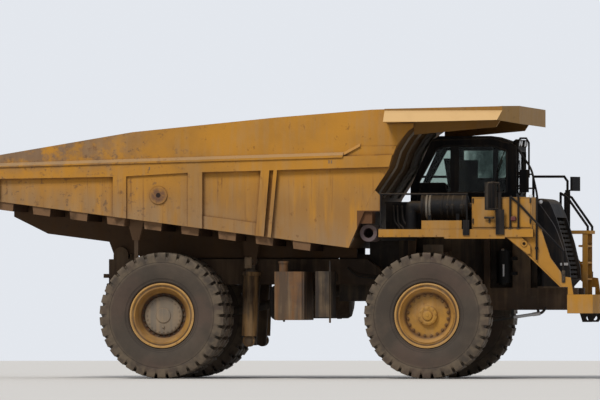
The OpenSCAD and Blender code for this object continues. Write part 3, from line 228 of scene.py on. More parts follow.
def bed_paint():
    t = Tree("bed_paint", Specular_IOR_Level=0.2)
    above = floor_height(t)
    aside = t.abs(t.y)
    colour = t.mix(t.step(t.noise(0.9, 5), 0.35, 0.7), OCHRE, OCHRE_DULL)
    # Lower panels are dustier, and the rear end is grimy along its top
    low = t.times(t.step(t.z, 3.15, 2.5), t.step(t.noise(1.8, 6, stretch=(3, 3, 0.4)), 0.3, 0.55), 0.85)
    colour = t.mix(low, colour, (0.285, 0.148, 0.048))
    foot = t.times(t.step(above, 0.5, 0.02), t.step(t.noise(3, 5, stretch=(2, 2, 0.5)), 0.3, 0.6), 0.65)
    colour = t.mix(foot, colour, (0.27, 0.175, 0.095))
    grime = t.step(t.noise(3.2, 8, rough=0.65), 0.40, 0.56)
    rear = t.times(t.step(t.x, -1.5, -3.6), t.step(t.z, 2.95, 3.3), grime, 0.85)
    colour = t.mix(rear, colour, (0.175, 0.12, 0.085))
    spots = t.times(t.step(t.x, -0.9, -2.2), t.step(t.noise(11, 6, rough=0.7), 0.56, 0.64), 0.6)
    colour = t.mix(spots, colour, (0.10, 0.062, 0.045))
    # Thin rust runs that start at the band over the panels
    runs = t.times(t.step(t.noise(9, 4, stretch=(3, 3, 0.12)), 0.60, 0.72), t.step(t.z, 3.1, 2.9), 0.45)
    colour = t.mix(runs, colour, (0.16, 0.07, 0.028))
    colour, rough = weathered(t, colour, dust=0.25, ledge=0.75, worn=0.6, bare=RUST, seam=0.75, specks=0.45)
    # Round cover over the hinge's cross tube, rusty round a hole whose darkness is painted shade
    cover = t.times(t.near(*COVER, 0.07, 0.15), t.step(t.noise(12, 5), 0.2, 0.5), 0.85)
    colour = t.mix(cover, colour, (0.105, 0.055, 0.042))
    # Painted shade: a dark disc for the hole in the cover
    colour = t.mix(t.near(*COVER, 0.03, 0.042), colour, (0.02, 0.012, 0.01))
    # The front wall's outer side is darkened, with dirt and painted shade
    front = t.times(t.step(t.normal[0], 0.25, 0.5), t.step(t.normal[2], 0.0, -0.1), 0.86)
    colour = t.mix(front, colour, (0.055, 0.030, 0.013))
    # Cross beams and the floor's lower face are dark brown, with dirt and painted shade, the beams' ends
    # are dusty
    under = t.step(above, 0.004, -0.01)
    colour = t.mix(t.times(under, 0.9), colour, (0.045, 0.024, 0.013))
    ends = t.times(under, t.step(aside, 1.79, 1.80), t.step(t.noise(5, 5), 0.25, 0.55), 0.8)
    colour = t.mix(ends, colour, (0.19, 0.105, 0.052))
    # The rock bars' brackets are dusty, the box that leads the exhaust into the front wall is rusty
    bracket = t.times(under, t.near(ROCK_X, ROCK_Z, 0.24, 0.26), t.step(aside, 1.20, 1.22), 0.85)
    colour = t.mix(bracket, colour, (0.21, 0.125, 0.070))
    box = t.times(t.step(t.x, 0.985, 0.99), t.step(t.z, 2.5, 2.485), t.step(t.y, -1.40, -1.44), 0.9)
    colour = t.mix(box, colour, (0.085, 0.036, 0.018))
    # The load space is scraped steel with dust
    between = t.step(aside, WALL_IN + 0.004, WALL_IN)
    inside = t.times(between, t.step(above, 0.02, 0.04), t.step(t.normal[0], 0.1, 0.0))
    scrapes = t.step(t.noise(1.4, 6, stretch=(0.5, 2, 1)), 0.4, 0.65)
    colour = t.mix(inside, colour, t.mix(scrapes, (0.17, 0.145, 0.12), (0.29, 0.24, 0.185)))
    return t.done(colour, rough, 0.35)


def yellow_paint():
    t = Tree("yellow_paint", Specular_IOR_Level=0.25)
    aside = t.abs(t.y)
    colour = t.mix(t.step(t.noise(1.2, 5), 0.35, 0.7), (0.415, 0.196, 0.026), (0.32, 0.156, 0.031))
    # Canopy: dusty nose, pale lip along its sides with dust and painted highlight, painted shade on its
    # underside and on the faces of its beams
    in_canopy = t.step(t.z, CANOPY_LOW - 0.03, CANOPY_LOW - 0.01)
    nose = t.times(in_canopy, t.step(t.normal[0], 0.5, 0.8), 0.8)
    colour = t.mix(nose, colour, (0.30, 0.185, 0.075))
    colour, rough = weathered(t, colour, dust=0.4, ledge=0.6, worn=0.6, seam=0.6, specks=0.35)
    # Dust and painted highlight: the lip's upward faces made pale
    lip_dust_and_highlight = t.times(in_canopy, t.step(t.normal[2], 0.12, 0.3), t.step(aside, 1.9, 2.0))
    colour = t.mix(t.times(lip_dust_and_highlight, t.step(t.noise(3, 5), -0.4, 0.5), 0.95), colour, (0.62, 0.40, 0.18))
    # Painted shade on the canopy's underside
    canopy_underside_shade = t.times(in_canopy, t.step(t.normal[2], -0.6, -0.9), 0.85)
    colour = t.mix(canopy_underside_shade, colour, (0.085, 0.042, 0.012))
    # Painted shade on the beams' faces under the lip
    beam_face_shade = t.times(in_canopy, t.step(t.abs(t.normal[1]), 0.5, 0.9), t.step(aside, 2.2, 2.1), 0.75)
    colour = t.mix(beam_face_shade, colour, (0.12, 0.058, 0.014))
    # Tow brackets under the bumper are dark
    low = t.step(t.z, BUMPER_LOW + 0.14, BUMPER_LOW + 0.125)
    tow = t.times(low, t.step(t.x, FRONT_X + 1.9, FRONT_X + 2.0))
    colour = t.mix(tow, colour, (0.02, 0.016, 0.013))
    # Tread plate on the decks
    tread = t.times(t.step(t.normal[2], 0.9, 0.98), t.step(t.z, CANOPY_LOW - 0.1, CANOPY_LOW - 0.2))
    across = t.math("SINE", t.times(t.math("ADD", t.x, t.y), 95.0))
    along = t.math("SINE", t.times(t.math("SUBTRACT", t.x, t.y), 95.0))
    t.bump(t.times(t.step(t.times(across, along), 0.2, 0.6), tread), 0.8, 0.004)
    return t.done(colour, rough, 0.4)


def wheel_radius(t):
    """Distance from the axle that a point on a wheel turns about."""
    axle = t.math("MULTIPLY_ADD", t.math("GREATER_THAN", t.x, 0.0), FRONT_X - REAR_X, REAR_X)
    along = t.math("SUBTRACT", t.x, axle)
    up = t.math("SUBTRACT", t.z, TYRE_R)
    return t.math("SQRT", t.math("ADD", t.times(along, along), t.times(up, up)))


def rim_paint():
    t = Tree("rim_paint", Specular_IOR_Level=0.35)
    radius = wheel_radius(t)
    colour = t.mix(t.step(t.noise(3.0, 5), 0.35, 0.65), (0.40, 0.205, 0.035), (0.27, 0.14, 0.035))
    front = t.math("GREATER_THAN", t.x, 0.0)
    rear = t.math("LESS_THAN", t.x, 0.0)
    grime = t.times(t.step(t.noise(5, 5), 0.2, 0.6), 0.6)
    # Rings of another colour, the dark narrow ones painted shade in the rim's gaps and recesses: from and
    # to a radius, share, colour, and how soft their edges are
    rings = (
        (0.30, 0.43, grime, (0.16, 0.075, 0.02), 0.03),
        (0.452, 0.50, 0.6, (0.52, 0.30, 0.10), 0.006),
        (0.36, 0.425, t.times(front, 0.55), (0.46, 0.235, 0.05), 0.01),
        # Painted shade under the inner edge of the front rims' lip
        (0.322, 0.345, t.times(front, 0.8), (0.07, 0.03, 0.012), 0.008),
        # Painted shade in the gap between the flange and the lip
        (0.425, 0.448, 0.85, (0.05, 0.028, 0.014), 0.004),
        # Painted shade in the deep recess round the rear wheels' disc
        (0.27, 0.335, t.times(rear, 0.97), (0.012, 0.009, 0.008), 0.01),
    )
    for low, high, share, tone, soft in rings:
        colour = t.mix(t.times(t.band(radius, low, high, soft), share), colour, tone)
    colour, rough = weathered(t, colour, dust=0.3, ledge=0.2, worn=0.5, bare=RUST, seam=0.7)
    return t.done(colour, rough, 0.4)


def tyre_rubber():
    t = Tree("tyre_rubber", Specular_IOR_Level=0.2)
    radius = wheel_radius(t)
    colour = t.mix(t.step(t.noise(2.6, 6), 0.35, 0.7), (0.056, 0.044, 0.034), (0.080, 0.061, 0.045))
    colour = t.mix(t.times(t.step(t.noise(1.3, 4), 0.45, 0.62), 0.45), colour, (0.085, 0.052, 0.040))
    # The band of the lugs is dusty, the seat at the rim is dark, and the grooves are dark lines of painted
    # shade
    mud = t.times(t.step(t.noise(7, 6), 0.35, 0.62), t.step(radius, 0.74, 0.80), 0.85)
    colour = t.mix(mud, colour, (0.130, 0.098, 0.066))
    worn = t.times(t.step(radius, 0.90, 0.93), t.step(t.noise(12, 5), 0.3, 0.6), 0.5)
    colour = t.mix(worn, colour, (0.14, 0.108, 0.078))
    # Painted shade: thin dark lines along the sidewall's grooves
    for shaded_groove in (0.52, 0.548, 0.785):
        band = t.times(t.band(radius, shaded_groove - 0.006, shaded_groove + 0.006, 0.006), 0.5)
        colour = t.mix(band, colour, (0.03, 0.024, 0.02))
    colour = t.mix(t.times(t.step(radius, 0.51, 0.48), 0.6), colour, (0.025, 0.02, 0.016))
    # Painted shade in the corners between the lugs
    shade_between_lugs = t.times(t.corners(0.05), t.step(radius, 0.84, 0.87), 0.7)
    colour = t.mix(shade_between_lugs, colour, (0.022, 0.017, 0.013))
    t.bump(t.math("ADD", t.noise(60, 4), t.times(t.noise(14, 4), 2.0)), 0.4, 0.004)
    return t.done(colour, t.noise(6, 3), 0.3)


def plain_paint(name, base, shade, dust, ledge, worn=0.3, gloss=0.35, metallic=0.0, bare=DARK_DUST,
                rough_share=0.45, seam=0.4, specks=0.3):
    """Two close colours in clouds, weathered."""
    t = Tree(name, Specular_IOR_Level=gloss, Metallic=metallic)
    colour = t.mix(t.step(t.noise(1.6, 5), 0.35, 0.7), base, shade)
    colour, rough = weathered(t, colour, dust, ledge, worn, bare, seam, specks)
    return t.done(colour, rough, rough_share)


def stained_paint(name, base, stain, dark_from=NOWHERE):
    """Paint with long runs of rust or dirt down it, and nearly black ahead of a place along the truck."""
    t = Tree(name, Specular_IOR_Level=0.3)
    runs = t.times(t.step(t.noise(4.5, 6, stretch=(2.2, 2.2, 0.22)), 0.42, 0.60), 0.75)
    colour = t.mix(runs, base, stain)
    colour = t.mix(t.times(t.step(t.noise(3, 6), 0.5, 0.68), 0.5), colour, (0.05, 0.045, 0.048))
    ahead = t.times(t.step(t.x, dark_from, dark_from + 0.01), 0.9)
    colour = t.mix(ahead, colour, (0.016, 0.014, 0.013))
    colour, rough = weathered(t, colour, 0.35, 0.5, 0.4, DARK_DUST, 0.5, 0.3)
    return t.done(colour, rough, 0.4)


def glass(name, tint, rough, dark_from=NOWHERE):
    """Clear glass with a film of dust, and dark smears ahead of a place along the truck, which also paint
    the shade of the dark cab behind.
    """
    t = Tree(name, Transmission_Weight=1.0, IOR=1.2, Roughness=rough)
    colour = t.mix(t.times(t.step(t.noise(3, 5), 0.45, 0.75), 0.15), tint, (0.45, 0.42, 0.36))
    # Smears and painted shade: dark patches over the glass ahead of that place
    ahead = t.step(t.x, dark_from, dark_from + 0.12)
    smears_and_shade = t.times(t.step(t.noise(3.4, 7, rough=0.7), 0.30, 0.58), ahead, 0.95)
    t.put(t.shader.inputs["Base Color"], t.mix(smears_and_shade, colour, (0.10, 0.135, 0.125)))
    return t.material


MATERIALS = {
    "bed_paint": bed_paint(),
    "yellow_paint": yellow_paint(),
    "rim_paint": rim_paint(),
    "tyre_rubber": tyre_rubber(),
    "frame_paint": plain_paint("frame_paint", (0.038, 0.024, 0.015), (0.072, 0.043, 0.025), 0.2, 0.5),
    "black_paint": plain_paint("black_paint", BLACK, BLACK_WORN, 0.07, 0.22, gloss=0.16, rough_share=0.4,
                               seam=0.2, specks=0.1),
    "cast_metal": plain_paint("cast_metal", (0.13, 0.11, 0.09), (0.19, 0.155, 0.115), 0.45, 0.4),
    "strut_steel": plain_paint("strut_steel", (0.10, 0.075, 0.052), (0.16, 0.13, 0.10), 0.3, 0.4),
    "cab_plastic": plain_paint("cab_plastic", (0.014, 0.014, 0.015), (0.024, 0.023, 0.022), 0.1, 0.25),
    "cab_glazing": glass("cab_glazing", (0.52, 0.60, 0.56), 0.02, dark_from=FRONT_X + 0.3),
    "lamp_glass": glass("lamp_glass", (0.85, 0.85, 0.80), 0.1),
}
# Finishes that differ from their slot's own
DARK_CAST = plain_paint("dark_cast", (0.022, 0.017, 0.014), (0.045, 0.034, 0.026), 0.2, 0.35)
GRILLE_BLACK = plain_paint("grille_black", COAL, COAL_WORN, 0.04, 0.08, gloss=0.1)
GLOSS_BLACK = plain_paint("gloss_black", COAL, COAL_WORN, 0.03, 0.14, gloss=0.16, rough_share=0.15)
WET_BLACK = plain_paint("wet_black", (0.0025, 0.0025, 0.003), (0.005, 0.005, 0.005), 0.01, 0.05, worn=0.1,
                        gloss=0.1, rough_share=0.02, seam=0.1, specks=0.05)
BAR_BROWN = plain_paint("bar_brown", (0.15, 0.095, 0.058), (0.21, 0.14, 0.09), 0.3, 0.4)
HOIST_BROWN = stained_paint("hoist_brown", (0.045, 0.024, 0.012), (0.30, 0.165, 0.06))
TANK_RUST = stained_paint("tank_rust", (0.082, 0.052, 0.032), (0.17, 0.078, 0.027), 0.30)
PIPE_GREY = plain_paint("pipe_grey", (0.095, 0.066, 0.070), (0.13, 0.10, 0.10), 0.2, 0.3, bare=RUST)
BRIGHT_STEEL = plain_paint("bright_steel", (0.42, 0.42, 0.43), (0.34, 0.33, 0.33), 0.15, 0.3, gloss=0.5,
                           metallic=0.6, rough_share=0.15)
HOSE = plain_paint("hose", (0.012, 0.011, 0.011), (0.022, 0.02, 0.018), 0.12, 0.3, gloss=0.3)
CANVAS = plain_paint("seat_cloth", (0.020, 0.020, 0.022), (0.030, 0.029, 0.029), 0.05, 0.15, gloss=0.15)
NUT_BROWN = plain_paint("nut_brown", (0.13, 0.065, 0.022), (0.20, 0.10, 0.03), 0.2, 0.2)
DUSTY_CAP = plain_paint("dusty_cap", (0.27, 0.19, 0.12), (0.20, 0.14, 0.09), 0.5, 0.5)
CLAMP_BAND = plain_paint("clamp_band", (0.20, 0.19, 0.17), (0.09, 0.085, 0.075), 0.3, 0.4, metallic=0.4)
# Grey for painted highlights along the hood's edges
HOOD_EDGE_HIGHLIGHT = plain_paint("hood_edge", (0.07, 0.07, 0.078), (0.045, 0.045, 0.05), 0.1, 0.3)
RED_LENS = plain_paint("red_lens", (0.11, 0.006, 0.005), (0.07, 0.008, 0.006), 0.1, 0.2, gloss=0.6,
                       rough_share=0.05)
WHITE_LENS = plain_paint("white_lens", (0.75, 0.76, 0.78), (0.66, 0.66, 0.66), 0.05, 0.1, gloss=0.6,
                         rough_share=0.05)
OWN_FINISH = {
    "accumulators": WET_BLACK,
    "air_cleaner": GLOSS_BLACK,
    "drive_train": DARK_CAST,
    "exhaust": PIPE_GREY,
    "grille": GRILLE_BLACK,
    "hoist_barrel_left": HOIST_BROWN,
    "hoist_barrel_right": HOIST_BROWN,
    "hydraulic_tank": TANK_RUST,
    "rock_bar_left": BAR_BROWN,
    "rock_bar_right": BAR_BROWN,
}
slot_of = {part["node"]: part["material_slot"] for part in frame["record"]["subparts"]}
for name, node in frame["nodes"].items():
    node.data.materials.clear()
    node.data.materials.append(OWN_FINISH.get(name, MATERIALS[slot_of[name]]))


def add_mesh(name, points, faces, body, slot, finish=None, smooth=0.6, turn_out=False):
    """A mesh in the row frame that rides on a body; turn_out makes all its faces look outward."""
    mesh = bpy.data.meshes.new(name)
    mesh.from_pydata(points, [], faces)
    mesh.validate()
    if turn_out:
        bm = bmesh.new()
        bm.from_mesh(mesh)
        bmesh.ops.recalc_face_normals(bm, faces=bm.faces)
        bm.to_mesh(mesh)
        bm.free()
    mesh.materials.append(finish or MATERIALS[slot])
    mesh.shade_smooth()
    mesh.set_sharp_from_angle(angle=smooth)
    piece = bpy.data.objects.new(name, mesh)
    bpy.context.scene.collection.objects.link(piece)
    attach(piece, body)
    return piece


def at(x, y, z):
    """A place counted as part.scad counts it: millimetres from below the rear axle's middle."""
    return Vector((x / 1000 + REAR_X, y / 1000, z / 1000))


def fore(x, y, z):
    """A place in millimetres from below the front axle's middle."""
    return at(FX + x, y, z)


def fore_path(*places):
    return [fore(*place) for place in places]


def steps_from(base, *steps):
    """Places at steps from a base, in metres."""
    return [base + Vector(step) for step in steps]


def rounded(points, bend):
    """A path with its corners rounded off."""
    path = [points[0]]
    for before, corner, after in zip(points, points[1:], points[2:]):
        back, on = before - corner, after - corner
        reach = min(bend, back.length * 0.45, on.length * 0.45)
        a, b = corner + back.normalized() * reach, corner + on.normalized() * reach
        path += [a.lerp(corner, k).lerp(corner.lerp(b, k), k) for k in (0, 0.25, 0.5, 0.75, 1)]
    return path + [points[-1]]


def compass(u, v, count):
    """Directions evenly round the plane of u and v."""
    turns = [2 * PI * k / count for k in range(count)]
    return [u * math.cos(turn) + v * math.sin(turn) for turn in turns]


def round_axis(axis, count):
    """The axis at length one, and directions evenly round it."""
    axis = Vector(axis).normalized()
    u = axis.orthogonal().normalized()
    return axis, compass(u, axis.cross(u), count)


class Shape:
    """Gathers small shapes into one mesh that rides on a body."""

    def __init__(self, name, body, slot, finish=None):
        self.name, self.body, self.slot, self.finish = name, body, slot, finish
        self.points, self.faces = [], []

    def loft(self, rings):
        """A skin over rings of the same number of points, closed at both ends."""
        first, n = len(self.points), len(rings[0])
        last = first + (len(rings) - 1) * n
        for ring in rings:
            self.points += ring
        for a in range(first, last, n):
            b = a + n
            self.faces += [(a + k, a + (k + 1) % n, b + (k + 1) % n, b + k) for k in range(n)]
        self.faces += [tuple(range(first + n - 1, first - 1, -1)), tuple(range(last, last + n))]

    def turned(self, centre, axis, profile, sides=16):
        """A round form; the profile gives how far along the axis and how far out."""
        axis, turns = round_axis(axis, sides)
        self.loft([[centre + axis * t + turn * r for turn in turns] for t, r in profile])

    def tube(self, points, radius, sides=8, bend=0.05):
        """A round tube along a path, bent at its corners."""
        path = rounded(points, bend)
        u = (path[1] - path[0]).orthogonal().normalized()
        rings = []
        for i, p in enumerate(path):
            t = (path[min(i + 1, len(path) - 1)] - path[max(i - 1, 0)]).normalized()
            u = (u - t * u.dot(t)).normalized()
            rings.append([p + turn * radius for turn in compass(u, t.cross(u), sides)])
        self.loft(rings)

    def closed_tube(self, corners, radius, sides=6, bend=0.03):
        """A tube round all the corners and on along the first side again."""
        self.tube(corners + corners[:2], radius, sides, bend)

    def block(self, low, high, soft):
        """A box with its edges cut."""
        rings = []
        for z, inset in ((low.z, soft), (low.z + soft, 0), (high.z - soft, 0), (high.z, soft)):
            x0, x1, y0, y1 = low.x + inset, high.x - inset, low.y + inset, high.y - inset
            ring = ((x0 + soft, y0), (x1 - soft, y0), (x1, y0 + soft), (x1, y1 - soft),
                    (x1 - soft, y1), (x0 + soft, y1), (x0, y1 - soft), (x0, y0 + soft))
            rings.append([Vector((x, y, z)) for x, y in ring])
        self.loft(rings)

    def side_block(self, s, low, high, soft):
        """A block on the left, or its mirror image on the right where s is -1."""
        if s < 0:
            low.y, high.y = -high.y, -low.y
        self.block(low, high, soft)

    def bolt(self, centre, axis, size):
        """A hexagon head on its washer; size is the width across the head."""
        washer = [(-0.1, 0.74), (0.13, 0.74), (0.17, 0.68)]
        head = [(0.1, 0.57), (0.62, 0.57), (0.7, 0.48)]
        self.turned(centre, axis, [(t * size, r * size) for t, r in washer], 14)
        self.turned(centre, axis, [(t * size, r * size) for t, r in head], 6)

    def bolt_ring(self, centre, axis, radius, count, size):
        axis, turns = round_axis(axis, count)
        for turn in turns:
            self.bolt(centre + turn * radius, axis, size)

    def done(self):
        add_mesh(self.name, self.points, self.faces, self.body, self.slot, self.finish, turn_out=True)


# Tyre: outline across the tread, from the bead to the crown, as place across and radius
CARCASS = [
    (0.180, 0.4325), (0.192, 0.484), (0.203, 0.497), (0.214, 0.507), (0.220, 0.512), (0.219, 0.520),
    (0.221, 0.534), (0.227, 0.541), (0.227, 0.550), (0.232, 0.556), (0.240, 0.60), (0.247, 0.66),
    (0.2485, 0.715), (0.248, 0.765), (0.2485, 0.779), (0.2445, 0.787), (0.249, 0.795), (0.248, 0.82),
    (0.245, 0.845), (0.239, 0.862), (0.228, 0.872), (0.206, 0.880), (0.17, 0.886), (0.09, 0.889),
    (0.0, 0.890),
]
# A lug from its foot on the sidewall to the middle of the tread: place across, radius of its top,
# radius of its foot, width as a share of the pitch, and shift along the tread as a share too
LUG_LINE = [
    (0.2488, 0.805, 0.800, 0.70, 0.0), (0.2500, 0.830, 0.812, 0.71, 0.0),
    (0.2500, 0.868, 0.845, 0.72, 0.0), (0.2485, 0.905, 0.858, 0.72, 0.0),
    (0.240, 0.928, 0.866, 0.72, 0.0), (0.226, 0.9350, 0.872, 0.72, 0.0),
    (0.14, 0.9375, 0.884, 0.68, 0.0), (0.06, 0.9375, 0.888, 0.64, 0.12),
    (0.012, 0.9375, 0.888, 0.60, 0.25), (0.012, 0.889, 0.886, 0.60, 0.25),
]
# The tyre that both are drawn for, scaled to the frame's
DRAWN_R, DRAWN_HALF = 0.9375, 0.25
LUG_COUNT = 34


def lug_section(top, foot, half):
    """Six points over a lug, from foot to foot: angle from its middle, and radius."""
    side = ((half * 1.08, foot), (half, top - 0.008), (half * 0.92, top))
    return [(-angle, r) for angle, r in side] + list(reversed(side))


def tyre_mesh(centre, out):
    """Points and faces of one tyre round Y; out is the side of its visible sidewall."""
    scale = TYRE_R / DRAWN_R
    across = TYRE_HALF / DRAWN_HALF
    half = [(y * across, r * scale) for y, r in CARCASS]
    section = half + [(-y, r) for y, r in reversed(half[:-1])]
    turns = LUG_COUNT * 4
    points, faces = [], []

    def spin(y, r, a):
        return centre + Vector((r * math.sin(a), y, -r * math.cos(a)))

    for i in range(turns):
        points += [spin(y, r, 2 * PI * i / turns) for y, r in section]
    count = len(section)
    for i in range(turns):
        a, b = i * count, (i + 1) % turns * count
        faces += [(a + k, a + k + 1, b + k + 1, b + k) for k in range(count - 1)]
        faces.append((a + count - 1, a, b, b + count - 1))
    pitch = 2 * PI / LUG_COUNT
    for i in range(LUG_COUNT):
        for side in (1, -1):
            first = len(points)
            for y, top, foot, width, shift in LUG_LINE:
                middle = pitch * (i + side * out * shift)
                for offset, r in lug_section(top, foot, pitch * width / 2):
                    points.append(spin(side * y * across, r * scale, middle + offset))
            last = len(points) - 6
            starts = [row + k for row in range(first, last, 6) for k in range(5)]
            lug = [(a, a + 1, a + 7, a + 6) for a in starts]
            lug.append(tuple(range(last, last + 6)))
            faces += [face if side < 0 else face[::-1] for face in lug]
    return points, faces


def add_tyres(node, body, x, ys):
    """One piece with a tyre at each place across, in the stead of the plain tyres."""
    points, faces = [], []
    for y in ys:
        more, shapes = tyre_mesh(Vector((x, y, TYRE_R)), 1 if y > 0 else -1)
        faces += [tuple(len(points) + k for k in face) for face in shapes]
        points += more
    piece = add_mesh(node + "_dressed", points, faces, body, "tyre_rubber", smooth=0.5)
    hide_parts(node)


# Here and below, s is 1 on the left side and -1 on the right
for hand, s in (("left", 1), ("right", -1)):
    add_tyres(f"tyre_front_{hand}", f"front_wheel_{hand}", FRONT_X, [s * FRONT_Y])
    add_tyres(f"tyres_rear_{hand}", f"rear_wheels_{hand}", REAR_X, [s * y for y in TWIN_YS])

# Wheels: nuts, the bolts of the covers and the oil plugs
for hand, s in (("left", 1), ("right", -1)):
    out = Vector((0, s, 0))
    hub = Vector((FRONT_X, s * FRONT_Y, TYRE_R))
    nuts = Shape(f"front_nuts_{hand}", f"front_wheel_{hand}", "rim_paint", NUT_BROWN)
    nuts.bolt_ring(hub + out * 0.064, out, 0.302, 20, 0.030)
    nuts.done()
    covers = Shape(f"hub_bolts_{hand}", f"front_wheel_{hand}", "rim_paint")
    covers.bolt_ring(hub + out * 0.128, out, 0.122, 10, 0.018)
    covers.turned(hub + out * 0.158, out, [(0, 0.02), (0.006, 0.02), (0.008, 0.016)])
    covers.done()
    rear = Vector((REAR_X, s * DRIVE_FACE, TYRE_R))
    nuts = Shape(f"rear_nuts_{hand}", f"rear_wheels_{hand}", "rim_paint", DARK_CAST)
    nuts.bolt_ring(rear + out * 0.004, out, 0.308, 24, 0.026)
    nuts.done()
    covers = Shape(f"drive_bolts_{hand}", f"rear_wheels_{hand}", "cast_metal")
    covers.bolt_ring(rear + out * 0.049, out, 0.245, 24, 0.016)
    covers.bolt(rear + out * 0.052 + Vector((0, 0, -0.17)), out, 0.03)
    covers.done()

# Bed: marks under the top rails, and caps over the pins of the hoists' rods
marks = Shape("bed_fittings", "bed", "bed_paint", BAR_BROWN)
for s in (1, -1):
    for x, z in ((-170, 3120), (2520, 3213), (2556, 3213)):
        marks.side_block(s, at(x - 13, 1881, z - 27), at(x + 13, 1912, z + 27), 0.005)
marks.done()
CAP_Y, CAP_FACE = 775, 820
pin_caps = Shape("hoist_pin_caps", "bed", "strut_steel", DUSTY_CAP)
for s in (1, -1):
    pin_caps.side_block(s, at(1095, CAP_Y, 1640), at(1205, CAP_FACE, 1815), 0.012)
    for z in (1668, 1788):
        pin_caps.bolt(at(1150, s * CAP_FACE, z), (0, s, 0), 0.026)
pin_caps.done()

# Bolts along the decks' edges
deck_bolts = Shape("deck_bolts", "chassis", "yellow_paint")
for x in (-640, -440, -240, -40, 160, 360, 760, 960, 1360):
    for s in (1, -1):
        deck_bolts.bolt(fore(x, s * (DECK_Y + 1), 2120), (0, s, 0), 0.014)
deck_bolts.done()

# Cabinet on the right deck: doors with their gap, a T-handle, hinges and a red lamp
CABINET_Y = 60 - DECK_Y
doors = Shape("cabinet_doors", "chassis", "yellow_paint")
for x0, x1 in ((700, 1115), (1130, 1562)):
    doors.block(fore(x0, CABINET_Y - 7, 2240), fore(x1, CABINET_Y + 2, 2672), 0.004)
doors.done()
fittings = Shape("deck_fittings", "chassis", "black_paint", HOSE)
handle = fore(950, CABINET_Y - 10, 2385)
fittings.tube(steps_from(handle, (-0.075, -0.035, 0), (0.075, -0.035, 0)), 0.016, 10)
fittings.tube(steps_from(handle, (0, -0.03, 0), (0, -0.004, -0.02), (0, -0.004, -0.075)), 0.014, 8, 0.01)
for z in (2300, 2600):
    for x in (704, 1556):
        fittings.turned(fore(x, CABINET_Y - 12, z), (0, 0, 1), [(0, 0.011), (0.07, 0.011)], 10)
# Foot plates of the rails
for x, y in ((-600, 1885), (-60, 1885), (1160, 1885), (1680, 1755),
             (-670, -1885), (615, -1885), (1260, -1902), (1380, -1902)):
    fittings.turned(fore(x, y, 2213), (0, 0, 1), [(0, 0.036), (0.01, 0.036), (0.014, 0.026)], 14)
# Rim round the back of the right side mirror, which is turned by this angle
MIRROR_TURN = math.radians(25)
wide = Vector((-math.sin(MIRROR_TURN), -math.cos(MIRROR_TURN), 0)) * 0.122
behind = Vector((math.cos(MIRROR_TURN), -math.sin(MIRROR_TURN), 0)) * 0.02
tall = Vector((0, 0, 0.197))
back = fore(980, -(DECK_Y + 90), 2702) + behind
rim = [back - wide - tall, back + wide - tall, back + wide + tall, back - wide + tall]
fittings.closed_tube(rim, 0.013, 8, 0.05)
# Cables from the battery box down through the deck, and the duct from the air cleaner to the hood
for x, y, sag in ((-560, -1330, 2330), (-500, -1345, 2300), (-430, -1335, 2350)):
    cable = fore_path((x, -1290, 2560), (x + 10, y - 40, 2560), (x + 30, y - 60, sag),
                      (x + 110, y - 90, 2240), (x + 115, y - 90, 2190))
    fittings.tube(cable, 0.013, 8, 0.06)
duct = fore_path((560, -1500, 2560), (640, -1500, 2560), (660, -1300, 2500), (700, -900, 2420),
                 (1150, -720, 2420))
fittings.tube(duct, 0.05, 12, 0.1)
fittings.done()
red_lamp = Shape("side_lamp", "chassis", "lamp_glass", RED_LENS)
red_lamp.block(fore(1255, CABINET_Y - 42, 2335), fore(1345, CABINET_Y - 6, 2405), 0.012)
red_lamp.done()
small_lamps = Shape("marker_lamps", "chassis", "lamp_glass", WHITE_LENS)
for spot, axis, tip in ((fore(1560, CABINET_Y + 25, 2700), (0, -1, 0), 0.034),
                        (fore(1575, -735, 2625), (0.3, -1, 0.2), 0.032)):
    small_lamps.turned(spot, axis, [(-0.02, 0.028), (0.022, 0.028), (tip, 0.018)])
small_lamps.done()
# Bright strips down the accumulators, painted highlights, and the accumulators' charging valves
highlight_strips_and_valves = Shape("accumulator_plates", "chassis", "strut_steel", BRIGHT_STEEL)
for s in (1, -1):
    highlight_strips_and_valves.side_block(s, fore(1016, 804, 1520), fore(1040, 808, 1700), 0.002)
    valve = [(-0.02, 0.022), (0.03, 0.022), (0.036, 0.014)]
    highlight_strips_and_valves.turned(fore(1012, s * 760, 1900), (0, s, 0.9), valve, 14)
highlight_strips_and_valves.done()

# Air cleaner: pale clamps, and dark bands with their locks
CLEANER = fore(0, -1500, 2548)
clamps = Shape("cleaner_clamps", "chassis", "black_paint", CLAMP_BAND)
for x in (-0.035, 0.012):
    ring = [(x, 0.180), (x + 0.004, 0.190), (x + 0.030, 0.190), (x + 0.034, 0.180)]
    clamps.turned(CLEANER, (1, 0, 0), ring, 40)
clamps.done()
bands = Shape("cleaner_bands", "chassis", "black_paint", HOSE)
for x in (0.285, 0.36, 0.5):
    ring = [(x, 0.172), (x + 0.003, 0.178), (x + 0.018, 0.178), (x + 0.021, 0.172)]
    bands.turned(CLEANER, (1, 0, 0), ring, 40)
    bands.block(*steps_from(CLEANER, (x - 0.01, -0.195, -0.03), (x + 0.03, -0.170, 0.03)), 0.004)
bands.done()

# Cab, in millimetres: its right and left side, the screen's place and the floor's height
CAB_RIGHT, CAB_LEFT = 150, 1430
SCREEN_X = 1107
CAB_FLOOR = 2275
